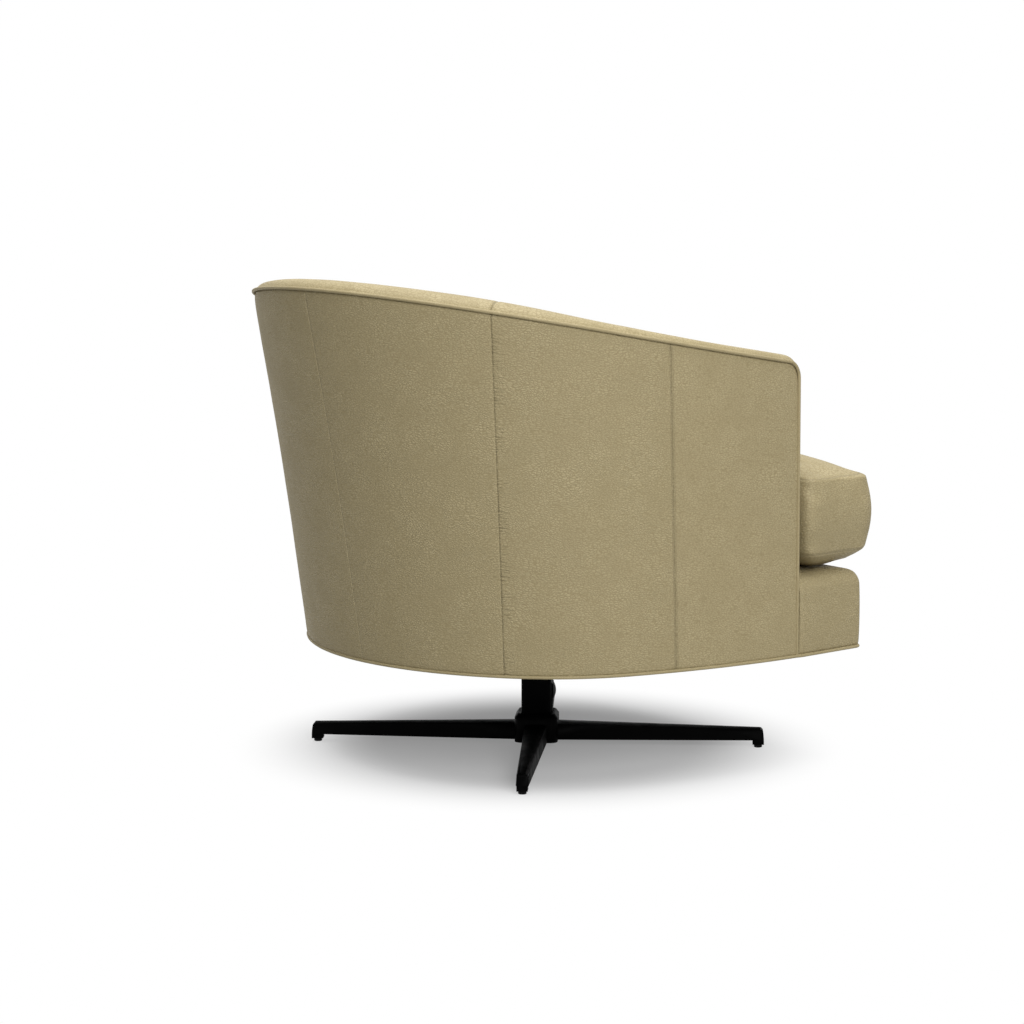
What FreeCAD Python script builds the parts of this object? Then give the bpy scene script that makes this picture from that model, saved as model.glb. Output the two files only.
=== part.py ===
import FreeCAD, Part
import math
import os
from FreeCAD import Vector

os.makedirs("parts", exist_ok=True)

# A leather barrel chair on a four-star swivel base
# Sizes are millimetres and degrees. The chair is drawn about its swivel axis with its front at -Y,
# and is moved at the end so that the middle of its footprint is the origin.

# Driving dimensions: levels and plan of the upholstered shell. Its plans share the headings at which
# their arcs change, so that straight lines between foot and top lie in the raked wall.
shell_foot = 169.0
plan_margin = 20.0
back_turn = 36.5
shoulder_turn = 35.0
foot_reach = 340.0
foot_back_radius = 397.5
foot_shoulder_radius = 286.5
foot_side_radius = 1065.0
top_reach = 446.0
top_back_radius = 386.4
top_shoulder_radius = 381.3
top_side_radius = 691.5
arm_reach = 167.0

# Inner face of the back and arms, measured in the same way
seat_foot_reach = 140.0
seat_back_radius = 313.0
seat_shoulder_radius = 145.0
seat_side_radius = 575.0
rim_width = 95.0

# Rim in side view
rim_back_height = 720.0
rim_arm_height = 605.0
rim_sag = 5.5
arm_corner_radius = 28.0
rim_crown = 6.5
rim_edge_bevel = 5.0

# Layers of the wall, from the leather inwards
leather = 2.5
welt_size = 5.0
welt_proud = 1.5
fit_gap = 0.3
padding = 9.0
frame_depth = 24.0
band_depth = 8.0
top_rail_height = 22.0
post_width = 46.0
back_post_heading = 20.0
shoulder_post_heading = 62.0
side_post_heading = 98.0
arm_board = 18.0
arm_pad = 8.0
arm_pad_seam = 58.0

# Seams of the outer leather, as headings from the middle of the back at the foot and at the top
shoulder_seam_foot = 40.9
shoulder_seam_top = 39.5
arm_seam_foot = 82.2
arm_seam_top = 75.8
seam_opening = 0.04

# Seat frame, springs and deck
board = 18.0
board_level = 176.0
rail_top = 256.0
rail_thickness = 22.0
spring_front = -150.0
spring_back = 118.0
spring_frame_half = 241.0
spring_count = 4
spring_pitch = 92.0
spring_wire = 3.8
spring_width = 50.0
spring_loops = 4
clip_width = 16.0
clip_strap = 1.2
clip_margin = 1.0
felt = 3.0
deck_level = 290.0
deck_gap = 0.9

# Front of the seat frame, which widens in a T in front of the arms
apron_overhang = 1.8
apron_reach = 294.0
apron_bow = 28.0
apron_corner_radius = 14.0
apron_shoulder = 268.0
apron_panel_drop = 6.0
apron_roll = (7.0, 13.0)
apron_roll_inset = 26.0
front_rail_depth = 20.0

# Loose T cushion
cushion_overhang = 0.5
cushion_reach = 299.0
cushion_bow = 32.0
cushion_corner_radius = 26.0
cushion_ear_radius = 9.0
cushion_seam_low = 318.0
cushion_seam_high = 430.0
cushion_crown = 474.0
cushion_crown_radius = 3500.0
cushion_bulge = 8.0
cushion_side_gap = 5.0
cushion_pull = 3.0
cushion_cover = 3.0
zip_height = 24.0

# Rolls of the cushion, as insets from its seam and shares of the way to its crown or its underside
cushion_top_roll = ((5.0, 0.30), (16.0, 0.62), (34.0, 0.86))
cushion_top_inset = 52.0
cushion_bottom_roll = ((6.0, 0.35), (20.0, 0.75), (44.0, 1.0))
boxing_shares = (0.0, 0.75, 1.0, 0.75, 0.0)

# Base casting
base_turn = 45.0
foot_circle = 340.0
hub_size = 66.0
hub_corner = 12.0
hub_underside = 8.0
hub_height = 44.0
hub_recess_depth = 8.0
hub_recess_diameter = 25.5
leg_overlap = 8.0
leg_root_width = 36.0
leg_tip_width = 18.5
leg_root_top = 37.0
leg_tip_top = 31.0
leg_root_bottom = 10.5
leg_tip_bottom = 12.0
leg_crown = 2.0
leg_draft = 1.2
leg_end = 344.0
foot_block_length = 17.0
foot_block_draft = 5.0
foot_block_width = 16.0
foot_block_lean = 1.0
leg_wall = 3.5
leg_skin = 4.5
pocket_count = 4
pocket_rib = 3.0
pocket_start = 50.0
pocket_end = 318.0
glide_diameter = 12.4
glide_height = 5.0
glide_stem = 7.0
glide_stem_length = 18.0
glide_chamfer = 0.8
running_gap = 0.06

# Swivel column
column_size = 46.0
column_corner = 7.0
column_foot = 28.0
column_top = 152.0
column_bore = 34.0
collar_size = 57.0
collar_flare = 4.5
collar_height = 8.0
collar_land = 2.0
boss_level = 85.0
boss_height = 30.0
boss_width = 26.0
boss_rise = 2.4
boss_foot_taper = 4.0
boss_top_taper = 3.0
cap_diameter = 26.0
cap_dome = 4.0
spindle_diameter = 25.0
spindle_foot = 58.0
spindle_clearance = 8.0
ring_groove = 2.0
ring_groove_depth = 1.5
ring_clearance = 1.5
ring_mouth = 7.0
bush_length = 20.0
bush_flange = 2.0
ring_thickness = 2.0
race_thickness = 3.0
race_outer = 44.0
race_bore_gap = 0.6
roller_diameter = 3.5
roller_length = 5.6
roller_count = 16
cage_thickness = 1.6
cage_margin = 0.5
plate_size = 210.0
plate_thickness = 3.8
plate_corner = 20.0
plate_margin = 3.0
cover_cloth = 0.9
flange_diameter = 72.0
plate_bolt_spacing = 170.0
plate_bolt = 8.0
bolt_head_width = 13.0
bolt_head_height = 3.0
t_nut_barrel = 11.0
t_nut_flange = 22.0
t_nut_flange_thickness = 1.6
t_nut_height = 9.0
hub_bolt = 10.0
hub_bolt_head = 17.0
hub_bolt_head_height = 6.2
washer_diameter = 22.0
washer_thickness = 1.8

# Sizes of cutting solids: half their width, their lowest level, how far they pass a face that they
# cut, and a heading that lies past the front of the arms
HALF_FIELD = 600.0
CUT_LOW = 150.0
PASS = 1.0
TOUCH = 0.01
BEYOND_FRONT = 160.0

plan_top = rim_back_height + plan_margin

foot_plan = (foot_reach, foot_back_radius, foot_shoulder_radius, foot_side_radius)
top_plan = (top_reach, top_back_radius, top_shoulder_radius, top_side_radius)
seat_foot_plan = (seat_foot_reach, seat_back_radius, seat_shoulder_radius, seat_side_radius)
rim_plan = tuple(size - rim_width for size in top_plan)

panel_depth = leather + padding
frame_inset = panel_depth + fit_gap
pad_inset = frame_inset + frame_depth + fit_gap
welt_inset = welt_size - welt_proud
welt_drop = welt_size - welt_proud / 2

pieces = {}


# General helpers
def heading_point(radius, heading):
    """Point at a radius and a heading measured from +Y towards +X."""
    return Vector(radius * math.sin(heading), radius * math.cos(heading), 0)


def slab(low, high):
    """Everything between two levels."""
    corner = Vector(-HALF_FIELD, -HALF_FIELD, low)
    return Part.makeBox(2 * HALF_FIELD, 2 * HALF_FIELD, high - low, corner)


def band_of_y(front, back):
    """Everything between two depths."""
    corner = Vector(-HALF_FIELD, front, 0)
    return Part.makeBox(2 * HALF_FIELD, back - front, plan_top + HALF_FIELD, corner)


def mirrored(shape):
    """The same piece on the other side of the chair."""
    return shape.mirror(Vector(0, 0, 0), Vector(1, 0, 0))


def flipped(spot):
    """The same point on the other side of the chair."""
    return Vector(-spot.x, spot.y, spot.z)


def arc_edge(first, middle, last):
    return Part.Arc(first, middle, last).toShape()


def line_edge(first, last):
    return Part.LineSegment(first, last).toShape()


def rounded_square(size, corner, level, turn):
    """Square wire with round corners, turned about the swivel axis."""
    half = size / 2
    flat = half - corner
    diagonal = corner * math.sqrt(0.5)
    edges = []
    for quarter in range(4):
        centre = Vector(flat, flat, level)
        bend = arc_edge(centre + Vector(corner, 0, 0),
                        centre + Vector(diagonal, diagonal, 0),
                        centre + Vector(0, corner, 0))
        side = line_edge(Vector(flat, half, level), Vector(-flat, half, level))
        for edge in (bend, side):
            edge.rotate(Vector(0, 0, 0), Vector(0, 0, 1), 90 * quarter + turn)
            edges.append(edge)
    return Part.Wire(edges)


def prism(wire, height):
    return Part.Face(wire).extrude(Vector(0, 0, height))


def tube(outer, inner, low, high):
    """Round ring about the swivel axis."""
    ring = Part.makeCylinder(outer / 2, high - low, Vector(0, 0, low))
    bore = Part.makeCylinder(inner / 2, high - low + 2 * PASS, Vector(0, 0, low - PASS))
    return ring.cut(bore)


# Plan outlines as tangent arcs
def half_arcs(plan, inset, front):
    """Arcs of one half of a plan, each as centre, radius, first heading and last heading."""
    reach, radius_1, radius_2, radius_3 = plan
    heading_1 = math.radians(back_turn)
    heading_2 = heading_1 + math.radians(shoulder_turn)
    centre_1 = Vector(0, reach - radius_1, 0)
    centre_2 = centre_1 + heading_point(radius_1 - radius_2, heading_1)
    centre_3 = centre_2 + heading_point(radius_2 - radius_3, heading_2)
    side = radius_3 - inset
    heading_3 = math.acos((front - centre_3.y) / side)
    return [(centre_1, radius_1 - inset, 0.0, heading_1),
            (centre_2, radius_2 - inset, heading_1, heading_2),
            (centre_3, side, heading_2, heading_3)]


def foot_half_width():
    """Half width of the shell's foot at the front of the arms."""
    centre, side, start, heading = half_arcs(foot_plan, 0, -arm_reach)[2]
    return centre.x + side * math.sin(heading)


apron_half_width = foot_half_width() + apron_overhang
cushion_half_width = apron_half_width + cushion_overhang


def arc_point(arc, heading, level):
    """Point of an arc at a heading; a negative heading is on the mirrored half."""
    centre, radius = arc[0], arc[1]
    spot = centre + heading_point(radius, abs(heading))
    return Vector(math.copysign(spot.x, heading) if heading else spot.x, spot.y, level)


def plan_edges(plan, inset, front, level):
    """Arcs from the left arm front round the back to the right arm front."""
    back, shoulder, side = half_arcs(plan, inset, front)
    runs = [(side, -side[3], -side[2]),
            (shoulder, -shoulder[3], -shoulder[2]),
            (back, -back[3], back[3]),
            (shoulder, shoulder[2], shoulder[3]),
            (side, side[2], side[3])]
    edges = []
    for arc, start, end in runs:
        middle = (start + end) / 2
        points = [arc_point(arc, heading, level) for heading in (start, middle, end)]
        edges.append(arc_edge(*points))
    return edges


def reversed_edges(edges):
    """The same arcs walked the other way."""
    turned = []
    for edge in reversed(edges):
        first = edge.valueAt(edge.LastParameter)
        middle = edge.valueAt((edge.FirstParameter + edge.LastParameter) / 2)
        last = edge.valueAt(edge.FirstParameter)
        turned.append(arc_edge(first, middle, last))
    return turned


def wall_wire(outer_plan, outer_inset, inner_plan, inner_inset, level):
    """U-shaped section of the wall at one level."""
    outer = plan_edges(outer_plan, outer_inset, -arm_reach, level)
    inner = reversed_edges(plan_edges(inner_plan, inner_inset, -arm_reach, level))
    closing = line_edge(outer[-1].valueAt(outer[-1].LastParameter),
                        inner[0].valueAt(inner[0].FirstParameter))
    opening = line_edge(inner[-1].valueAt(inner[-1].LastParameter),
                        outer[0].valueAt(outer[0].FirstParameter))
    return Part.Wire(outer + [closing] + inner + [opening])


def raked_layer(outer_plans, outer_inset, inner_plans, inner_inset):
    """Layer between two raked faces, each given by its plans at the foot and at the top."""
    levels = (shell_foot, plan_top)
    wires = [wall_wire(outer, outer_inset, inner, inner_inset, level)
             for outer, inner, level in zip(outer_plans, inner_plans, levels)]
    return Part.makeLoft(wires, True, True)


def wall(outer_inset, inner_inset):
    """Layer of the raked wall between two insets from its outer face."""
    outside = (foot_plan, top_plan)
    return raked_layer(outside, outer_inset, outside, inner_inset)


def lined_wall(outer_inset, lining_depth):
    """Layer between an inset from the outer face and a depth behind the seat's inner face."""
    return raked_layer((foot_plan, top_plan), outer_inset, (seat_foot_plan, rim_plan), -lining_depth)


def lining(outer_depth, inner_depth):
    """Layer between two depths behind the seat's inner face."""
    inside = (seat_foot_plan, rim_plan)
    return raked_layer(inside, -outer_depth, inside, -inner_depth)


def seat_edges(clearance, level):
    """Arcs that keep a clearance from the seat's raked inner face at a level."""
    share = (level - shell_foot) / (plan_top - shell_foot)
    low_edges = plan_edges(seat_foot_plan, clearance, -arm_reach, shell_foot)
    high_edges = plan_edges(rim_plan, clearance, -arm_reach, plan_top)
    edges = []
    for low, high in zip(low_edges, high_edges):
        points = []
        for part in (0.0, 0.5, 1.0):
            first = low.valueAt(low.FirstParameter + part * (low.LastParameter - low.FirstParameter))
            last = high.valueAt(high.FirstParameter + part * (high.LastParameter - high.FirstParameter))
            points.append(first + (last - first) * share)
        edges.append(arc_edge(*points))
    return edges


# Rim in side view
def rim_circle():
    """Centre and radius of the large arc that the rim follows, which sags between its ends."""
    back = Vector(0, top_reach, rim_back_height)
    front = Vector(0, -arm_reach, rim_arm_height)
    middle = (back + front) / 2 - Vector(0, 0, rim_sag)
    circle = arc_edge(back, middle, front).Curve
    return circle.Center, circle.Radius


def side_block(depth):
    """Solid behind and below the rim profile, sunk by a depth, with the arm's round corner."""
    centre, radius = rim_circle()
    radius = radius + depth
    front = depth - arm_reach
    back = 0.95 * HALF_FIELD

    def height(y):
        return centre.z - math.sqrt(radius ** 2 - (y - centre.y) ** 2)

    rim = arc_edge(Vector(0, back, height(back)),
                   Vector(0, (back + front) / 2, height((back + front) / 2)),
                   Vector(0, front, height(front)))
    outline = Part.Wire([rim,
                         line_edge(Vector(0, front, height(front)), Vector(0, front, CUT_LOW)),
                         line_edge(Vector(0, front, CUT_LOW), Vector(0, back, CUT_LOW)),
                         line_edge(Vector(0, back, CUT_LOW), Vector(0, back, height(back)))])
    outline.translate(Vector(-HALF_FIELD, 0, 0))
    block = Part.Face(outline).extrude(Vector(2 * HALF_FIELD, 0, 0))
    bend = arm_corner_radius - depth
    if bend < fit_gap:
        return block
    corner = [edge for edge in block.Edges
              if abs(edge.CenterOfMass.y - front) < TOUCH
              and abs(edge.CenterOfMass.z - height(front)) < TOUCH
              and edge.Length > HALF_FIELD]
    return block.makeFillet(bend, corner)


def rim_strip(outer_depth, inner_depth):
    """Strip that follows the rim and the arm fronts between two depths."""
    return side_block(outer_depth).cut(side_block(inner_depth))


def sector(foot_start, top_start, foot_end, top_end):
    """Wedge about the swivel axis between two leaning seam planes."""
    wires = []
    for level, start, end in ((CUT_LOW, foot_start, foot_end), (plan_top + 20, top_start, top_end)):
        reach = 2 * HALF_FIELD
        points = [Vector(0, 0, level)]
        for heading in (start, (start + end) / 2, end):
            points.append(heading_point(reach, math.radians(heading)) + Vector(0, 0, level))
        wires.append(Part.makePolygon(points + points[:1]))
    return Part.makeLoft(wires, True, True)


# Outer leather and welts
def outer_leather():
    """Six panels of leather on its wadding between the middle, shoulder and arm seams."""
    under_band = wall(welt_inset, panel_depth + PASS).cut(side_block(band_depth + fit_gap))
    skin = wall(0, panel_depth).common(side_block(welt_drop + fit_gap)).cut(under_band)
    skin = skin.common(slab(shell_foot + welt_size + fit_gap, plan_top))
    gap = seam_opening
    panels = {
        "back_panel": sector(gap, gap, shoulder_seam_foot - gap, shoulder_seam_top - gap),
        "shoulder_panel": sector(shoulder_seam_foot + gap, shoulder_seam_top + gap,
                                 arm_seam_foot - gap, arm_seam_top - gap),
        "arm_panel": sector(arm_seam_foot + gap, arm_seam_top + gap, BEYOND_FRONT, BEYOND_FRONT),
    }
    for name, wedge in panels.items():
        left = skin.common(wedge)
        pieces["outer_" + name + "_left"] = left
        pieces["outer_" + name + "_right"] = mirrored(left)


def shell_welts():
    """Piping along the outer and inner edges of the rim and down the arm fronts."""
    above_foot = slab(shell_foot + welt_size + fit_gap, plan_top)
    outer = wall(-welt_proud, welt_inset).common(rim_strip(-welt_proud / 2, welt_drop))
    pieces["outer_rim_welt"] = outer.common(above_foot)
    inner = lining(welt_inset, -welt_proud).common(rim_strip(-welt_proud / 2, band_depth))
    pieces["inner_rim_welt"] = inner.common(slab(deck_level + fit_gap, plan_top))


def crown_edges(band):
    """Long edges along the outer and inner side of the band's top and front faces."""
    block = side_block(-rim_crown)
    shortest = rim_width / 3
    edges = []
    for edge in band.Edges:
        middle = edge.valueAt((edge.FirstParameter + edge.LastParameter) / 2)
        near = min(face.distToShape(Part.Vertex(middle))[0] for face in block.Faces)
        low_end = min(vertex.Point.z for vertex in edge.Vertexes)
        across = abs(edge.Vertexes[0].Point.x - edge.Vertexes[-1].Point.x) > 0.8 * edge.Length
        if near < TOUCH and edge.Length > shortest and middle.z > board_level + board + rim_crown:
            if not (across and low_end < rim_arm_height):
                edges.append(edge)
    return edges


def rim_bands():
    """Crowned leather boxing over the rim and down the arm fronts, seamed over the shoulders."""
    edge = welt_inset + fit_gap
    band = lined_wall(edge, edge).common(rim_strip(-rim_crown, band_depth))
    band = band.common(slab(board_level + board + fit_gap, plan_top))
    band = band.makeChamfer(rim_edge_bevel, crown_edges(band))
    gap = seam_opening
    middle = sector(0, 0, shoulder_seam_top - gap, shoulder_seam_top - gap)
    middle = middle.fuse(mirrored(middle)).removeSplitter()
    arm = sector(shoulder_seam_top + gap, shoulder_seam_top + gap, BEYOND_FRONT, BEYOND_FRONT)
    pieces["rim_band_back"] = band.common(middle)
    pieces["rim_band_left"] = band.common(arm)
    pieces["rim_band_right"] = mirrored(pieces["rim_band_left"])


def shell_outline(inset, level):
    """Closed outline of the whole shell and the T front at its foot."""
    arcs = plan_edges(foot_plan, inset, -arm_reach, level)
    left = arcs[0].valueAt(arcs[0].FirstParameter)
    right = arcs[-1].valueAt(arcs[-1].LastParameter)
    front = apron_edges(apron_half_width, apron_reach, apron_bow, apron_corner_radius, inset, level)
    start = front[0].valueAt(front[0].FirstParameter)
    end = front[-1].valueAt(front[-1].LastParameter)
    step = Vector(apron_half_width - inset, -arm_reach, level)
    return Part.Wire(arcs + [line_edge(right, step), line_edge(step, start)]
                     + front + [line_edge(end, flipped(step)), line_edge(flipped(step), left)])


def apron_edges(half_width, reach, bow, corner, inset, level):
    """Front corner, bowed front and other corner of a T front, from right to left."""
    half = half_width - inset
    front = -(reach - inset)
    radius = max(corner - inset, 1.0)
    slope = math.atan2(4 * bow, 2 * (half_width - corner))
    centre = Vector(half - radius, front + radius, level)
    swing = math.pi / 2 - slope

    def corner_point(turn):
        return centre + Vector(radius * math.cos(turn), -radius * math.sin(turn), 0)

    first = corner_point(0)
    last = corner_point(swing)
    middle = corner_point(swing / 2)
    nose = Vector(0, last.y - bow * (last.x / half_width) ** 2, level)
    return [arc_edge(first, middle, last),
            arc_edge(last, nose, flipped(last)),
            arc_edge(flipped(last), flipped(middle), flipped(first))]


def bottom_welt():
    outer = prism(shell_outline(-welt_proud, shell_foot), welt_size)
    inner = prism(shell_outline(welt_inset, shell_foot - PASS), welt_size + 2 * PASS)
    pieces["bottom_welt"] = outer.cut(inner)


# Timber frame
def seat_board():
    """Plywood board that everything stands on, with bolt holes for the swivel plate."""
    body = prism(shell_outline(frame_inset, board_level), board)
    for x, y in plate_bolt_spots():
        hole = Part.makeCylinder(t_nut_barrel / 2 + fit_gap, board + 2 * PASS,
                                 Vector(x, y, board_level - PASS))
        body = body.cut(hole)
    pieces["seat_board"] = body


def shell_frame():
    """Top rail, uprights and arm front boards of the back and arms."""
    layer = wall(frame_inset, frame_inset + frame_depth)
    base = board_level + board
    rail_depth = band_depth + fit_gap
    board_face = band_depth + fit_gap
    behind_boards = band_of_y(board_face + arm_board + fit_gap - arm_reach, HALF_FIELD)
    under_rail = side_block(rail_depth).translated(Vector(0, -arm_board, -top_rail_height))
    rail = layer.common(side_block(rail_depth)).cut(under_rail)
    pieces["top_rail"] = rail.common(behind_boards)

    below_rail = layer.common(under_rail.translated(Vector(0, 0, -fit_gap))).common(slab(base, plan_top))
    half_turn = math.degrees(post_width / 2 / foot_shoulder_radius)
    posts = []
    for heading in (back_post_heading, shoulder_post_heading, side_post_heading):
        wedge = sector(heading - half_turn, heading - half_turn,
                       heading + half_turn, heading + half_turn)
        posts.append(below_rail.common(wedge))
    pieces["frame_posts_left"] = Part.makeCompound(posts)
    pieces["frame_posts_right"] = mirrored(pieces["frame_posts_left"])

    front = lined_wall(frame_inset, arm_pad).common(side_block(board_face))
    front = front.common(slab(base, plan_top))
    slice_of_arm = band_of_y(board_face - arm_reach, board_face + arm_board - arm_reach)
    both = front.common(slice_of_arm)
    left_half = Part.makeBox(HALF_FIELD, 2 * HALF_FIELD, 2 * HALF_FIELD, Vector(0, -HALF_FIELD, 0))
    left = both.common(left_half)
    pieces["arm_front_board_left"] = left
    pieces["arm_front_board_right"] = mirrored(left)


def spring_frame():
    """Four hardwood rails that carry the springs over the seat board."""
    base = board_level + board
    height = rail_top - base
    length = spring_back - spring_front - rail_thickness
    cross = Part.makeBox(2 * spring_frame_half + rail_thickness, rail_thickness, height)
    for name, depth in (("spring_rail_front", spring_front), ("spring_rail_back", spring_back)):
        spot = Vector(-spring_frame_half - rail_thickness / 2, depth - rail_thickness / 2, base)
        pieces[name] = cross.translated(spot)
    side = Part.makeBox(rail_thickness, length - 2 * fit_gap, height)
    rails = []
    for x in (spring_frame_half, -spring_frame_half):
        spot = Vector(x - rail_thickness / 2, spring_front + rail_thickness / 2 + fit_gap, base)
        rails.append(side.translated(spot))
    pieces["spring_side_rails"] = Part.makeCompound(rails)


def zigzag_spring(x):
    """One flat sinuous spring: bars across joined by half-round bends, from rail to rail."""
    level = rail_top + fit_gap
    step = (spring_back - spring_front) / (2 * spring_loops)
    bend = step / 2
    reach = spring_width / 2 - bend
    half = spring_wire / 2
    parts = []
    side = 1
    for bar in range(2 * spring_loops + 1):
        y = spring_front + bar * step
        parts.append(Part.makeBox(2 * reach, spring_wire, spring_wire, Vector(x - reach, y - half, level)))
        if bar < 2 * spring_loops:
            centre = Vector(x + side * reach, y + bend, level)
            turn = 90 * (1 - side) - 90
            across = Vector(0, 0, 1)
            outer = Part.makeCylinder(bend + half, spring_wire, centre, across, 180)
            inner = Part.makeCylinder(bend - half, spring_wire, centre, across, 180)
            half_ring = outer.cut(inner)
            half_ring.rotate(centre, across, turn)
            parts.append(half_ring)
        side = -side
    return parts[0].multiFuse(parts[1:]).removeSplitter()


def spring_places():
    middle = (spring_count - 1) / 2
    return [(index - middle) * spring_pitch for index in range(spring_count)]


def springs_and_clips():
    wires = [zigzag_spring(x) for x in spring_places()]
    pieces["seat_springs"] = Part.makeCompound(wires)
    clips = []
    rise = fit_gap + spring_wire + fit_gap
    half = rail_thickness / 2 - clip_margin
    for x in spring_places():
        left = x - clip_width / 2
        for y in (spring_front, spring_back):
            outside = Part.makeBox(clip_width, 2 * half, rise + clip_strap, Vector(left, y - half, rail_top))
            tunnel = Part.makeBox(clip_width + 2 * PASS, spring_wire + 2 * fit_gap, rise,
                                  Vector(left - PASS, y - spring_wire / 2 - fit_gap, rail_top))
            clips.append(outside.cut(tunnel))
    pieces["spring_clips"] = Part.makeCompound(clips)
    return rail_top + rise + clip_strap


def deck_wire(clearance, level):
    """Plan of the deck between the inner faces of the back and arms."""
    arcs = seat_edges(clearance, level)
    left = arcs[0].valueAt(arcs[0].FirstParameter)
    right = arcs[-1].valueAt(arcs[-1].LastParameter)
    return Part.Wire(arcs + [line_edge(right, left)])


def seat_deck(low):
    """Felt and covered foam that lie over the springs under the cushion."""
    levels = [("spring_felt", low, low + felt),
              ("deck_foam", low + felt, deck_level)]
    for name, bottom, top in levels:
        pieces[name] = prism(deck_wire(deck_gap, bottom + fit_gap), top - bottom - fit_gap)


def inner_pads():
    """Padded leather linings of the back and the two arms."""
    layer = lined_wall(pad_inset, 0).common(side_block(band_depth + fit_gap))
    front = band_depth + 2 * fit_gap + arm_board - arm_reach
    boards = lined_wall(0, arm_pad - fit_gap).common(band_of_y(-HALF_FIELD, front))
    layer = layer.common(slab(rail_top + fit_gap, plan_top)).cut(boards)
    gap = 2 * seam_opening
    middle = sector(0, 0, arm_pad_seam - gap, arm_pad_seam - gap)
    middle = middle.fuse(mirrored(middle)).removeSplitter()
    pieces["inner_back_pad"] = layer.common(middle)
    left = layer.common(sector(arm_pad_seam + gap, arm_pad_seam + gap, BEYOND_FRONT, BEYOND_FRONT))
    pieces["inner_arm_pad_left"] = left
    pieces["inner_arm_pad_right"] = mirrored(left)


# T front of the seat frame
def apron_wire(inset, level, back):
    front = apron_edges(apron_half_width, apron_reach, apron_bow, apron_corner_radius, inset, level)
    right = Vector(apron_half_width - inset, back, level)
    left = Vector(inset - apron_half_width, back, level)
    start = front[0].valueAt(front[0].FirstParameter)
    end = front[-1].valueAt(front[-1].LastParameter)
    return Part.Wire([line_edge(right, start)] + front + [line_edge(end, left), line_edge(left, right)])


def apron():
    """Leather front panel, front rail and crowned pad of the T front."""
    back = -arm_reach - rim_crown - fit_gap
    low = shell_foot + welt_size + fit_gap
    top = apron_shoulder - apron_panel_drop
    panel_back = -arm_reach - welt_proud / 2 - fit_gap
    outside = prism(apron_wire(0, low, panel_back), top - low)
    hollow = prism(apron_wire(leather, low - PASS, panel_back + PASS), top - low + 2 * PASS)
    pieces["apron_panel"] = outside.cut(hollow)

    base = board_level + board
    rail = prism(apron_wire(frame_inset, base, back), top - base)
    inside = prism(apron_wire(frame_inset + front_rail_depth, base - PASS, back + PASS),
                   top - base + 2 * PASS)
    pieces["apron_rail"] = rail.cut(inside)

    sections = [(0, top + fit_gap), (0, apron_shoulder),
                (apron_roll[0], apron_shoulder + apron_roll[1]), (apron_roll_inset, deck_level)]
    wires = [apron_wire(inset, level, back) for inset, level in sections]
    pieces["apron_pad"] = Part.makeLoft(wires, True, True)


def dust_cover():
    """Cloth stapled under the seat board, open round the swivel plate."""
    level = board_level - fit_gap - cover_cloth
    sheet = prism(shell_outline(frame_inset, level), cover_cloth)
    opening = prism(rounded_square(plate_size + 2 * plate_margin, plate_corner + plate_margin,
                                   level - PASS, 0), cover_cloth + 2 * PASS)
    pieces["dust_cover"] = sheet.cut(opening)


# Loose cushion
def cushion_wire(inset, level):
    """T outline of the cushion: it follows the seat's inner face and widens in front of the arms."""
    ear_back = -arm_reach - rim_crown - cushion_side_gap / 2 - cushion_bulge - inset
    arcs = seat_edges(cushion_side_gap / 2 + cushion_bulge + inset, level)
    left = arcs[0].valueAt(arcs[0].FirstParameter)
    right = arcs[-1].valueAt(arcs[-1].LastParameter)
    left_mouth = Vector(left.x, ear_back, level)
    right_mouth = Vector(right.x, ear_back, level)
    front = apron_edges(cushion_half_width, cushion_reach, cushion_bow,
                        cushion_corner_radius, inset, level)
    start = front[0].valueAt(front[0].FirstParameter)
    end = front[-1].valueAt(front[-1].LastParameter)
    half = cushion_half_width - inset
    radius = cushion_ear_radius
    lean = radius * (1 - math.sqrt(0.5))

    def ear(sign, tip):
        inner = Vector(sign * (half - radius), ear_back, level)
        bend = Vector(sign * (half - lean), ear_back - lean, level)
        outer = Vector(sign * half, ear_back - radius, level)
        pulled = Vector(sign * (half - cushion_pull), (outer.y + tip.y) / 2, level)
        return inner, bend, outer, pulled

    inner_r, bend_r, outer_r, pulled_r = ear(1, start)
    inner_l, bend_l, outer_l, pulled_l = ear(-1, end)
    edges = arcs + [line_edge(right, right_mouth), line_edge(right_mouth, inner_r),
                    arc_edge(inner_r, bend_r, outer_r), arc_edge(outer_r, pulled_r, start)]
    edges += front + [arc_edge(end, pulled_l, outer_l), arc_edge(outer_l, bend_l, inner_l),
                      line_edge(inner_l, left_mouth), line_edge(left_mouth, left)]
    return Part.Wire(edges)


def cushion_loft(steps):
    """Solid through cushion outlines, each given by its inset and level."""
    return Part.makeLoft([cushion_wire(inset, level) for inset, level in steps], True, True)


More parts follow.
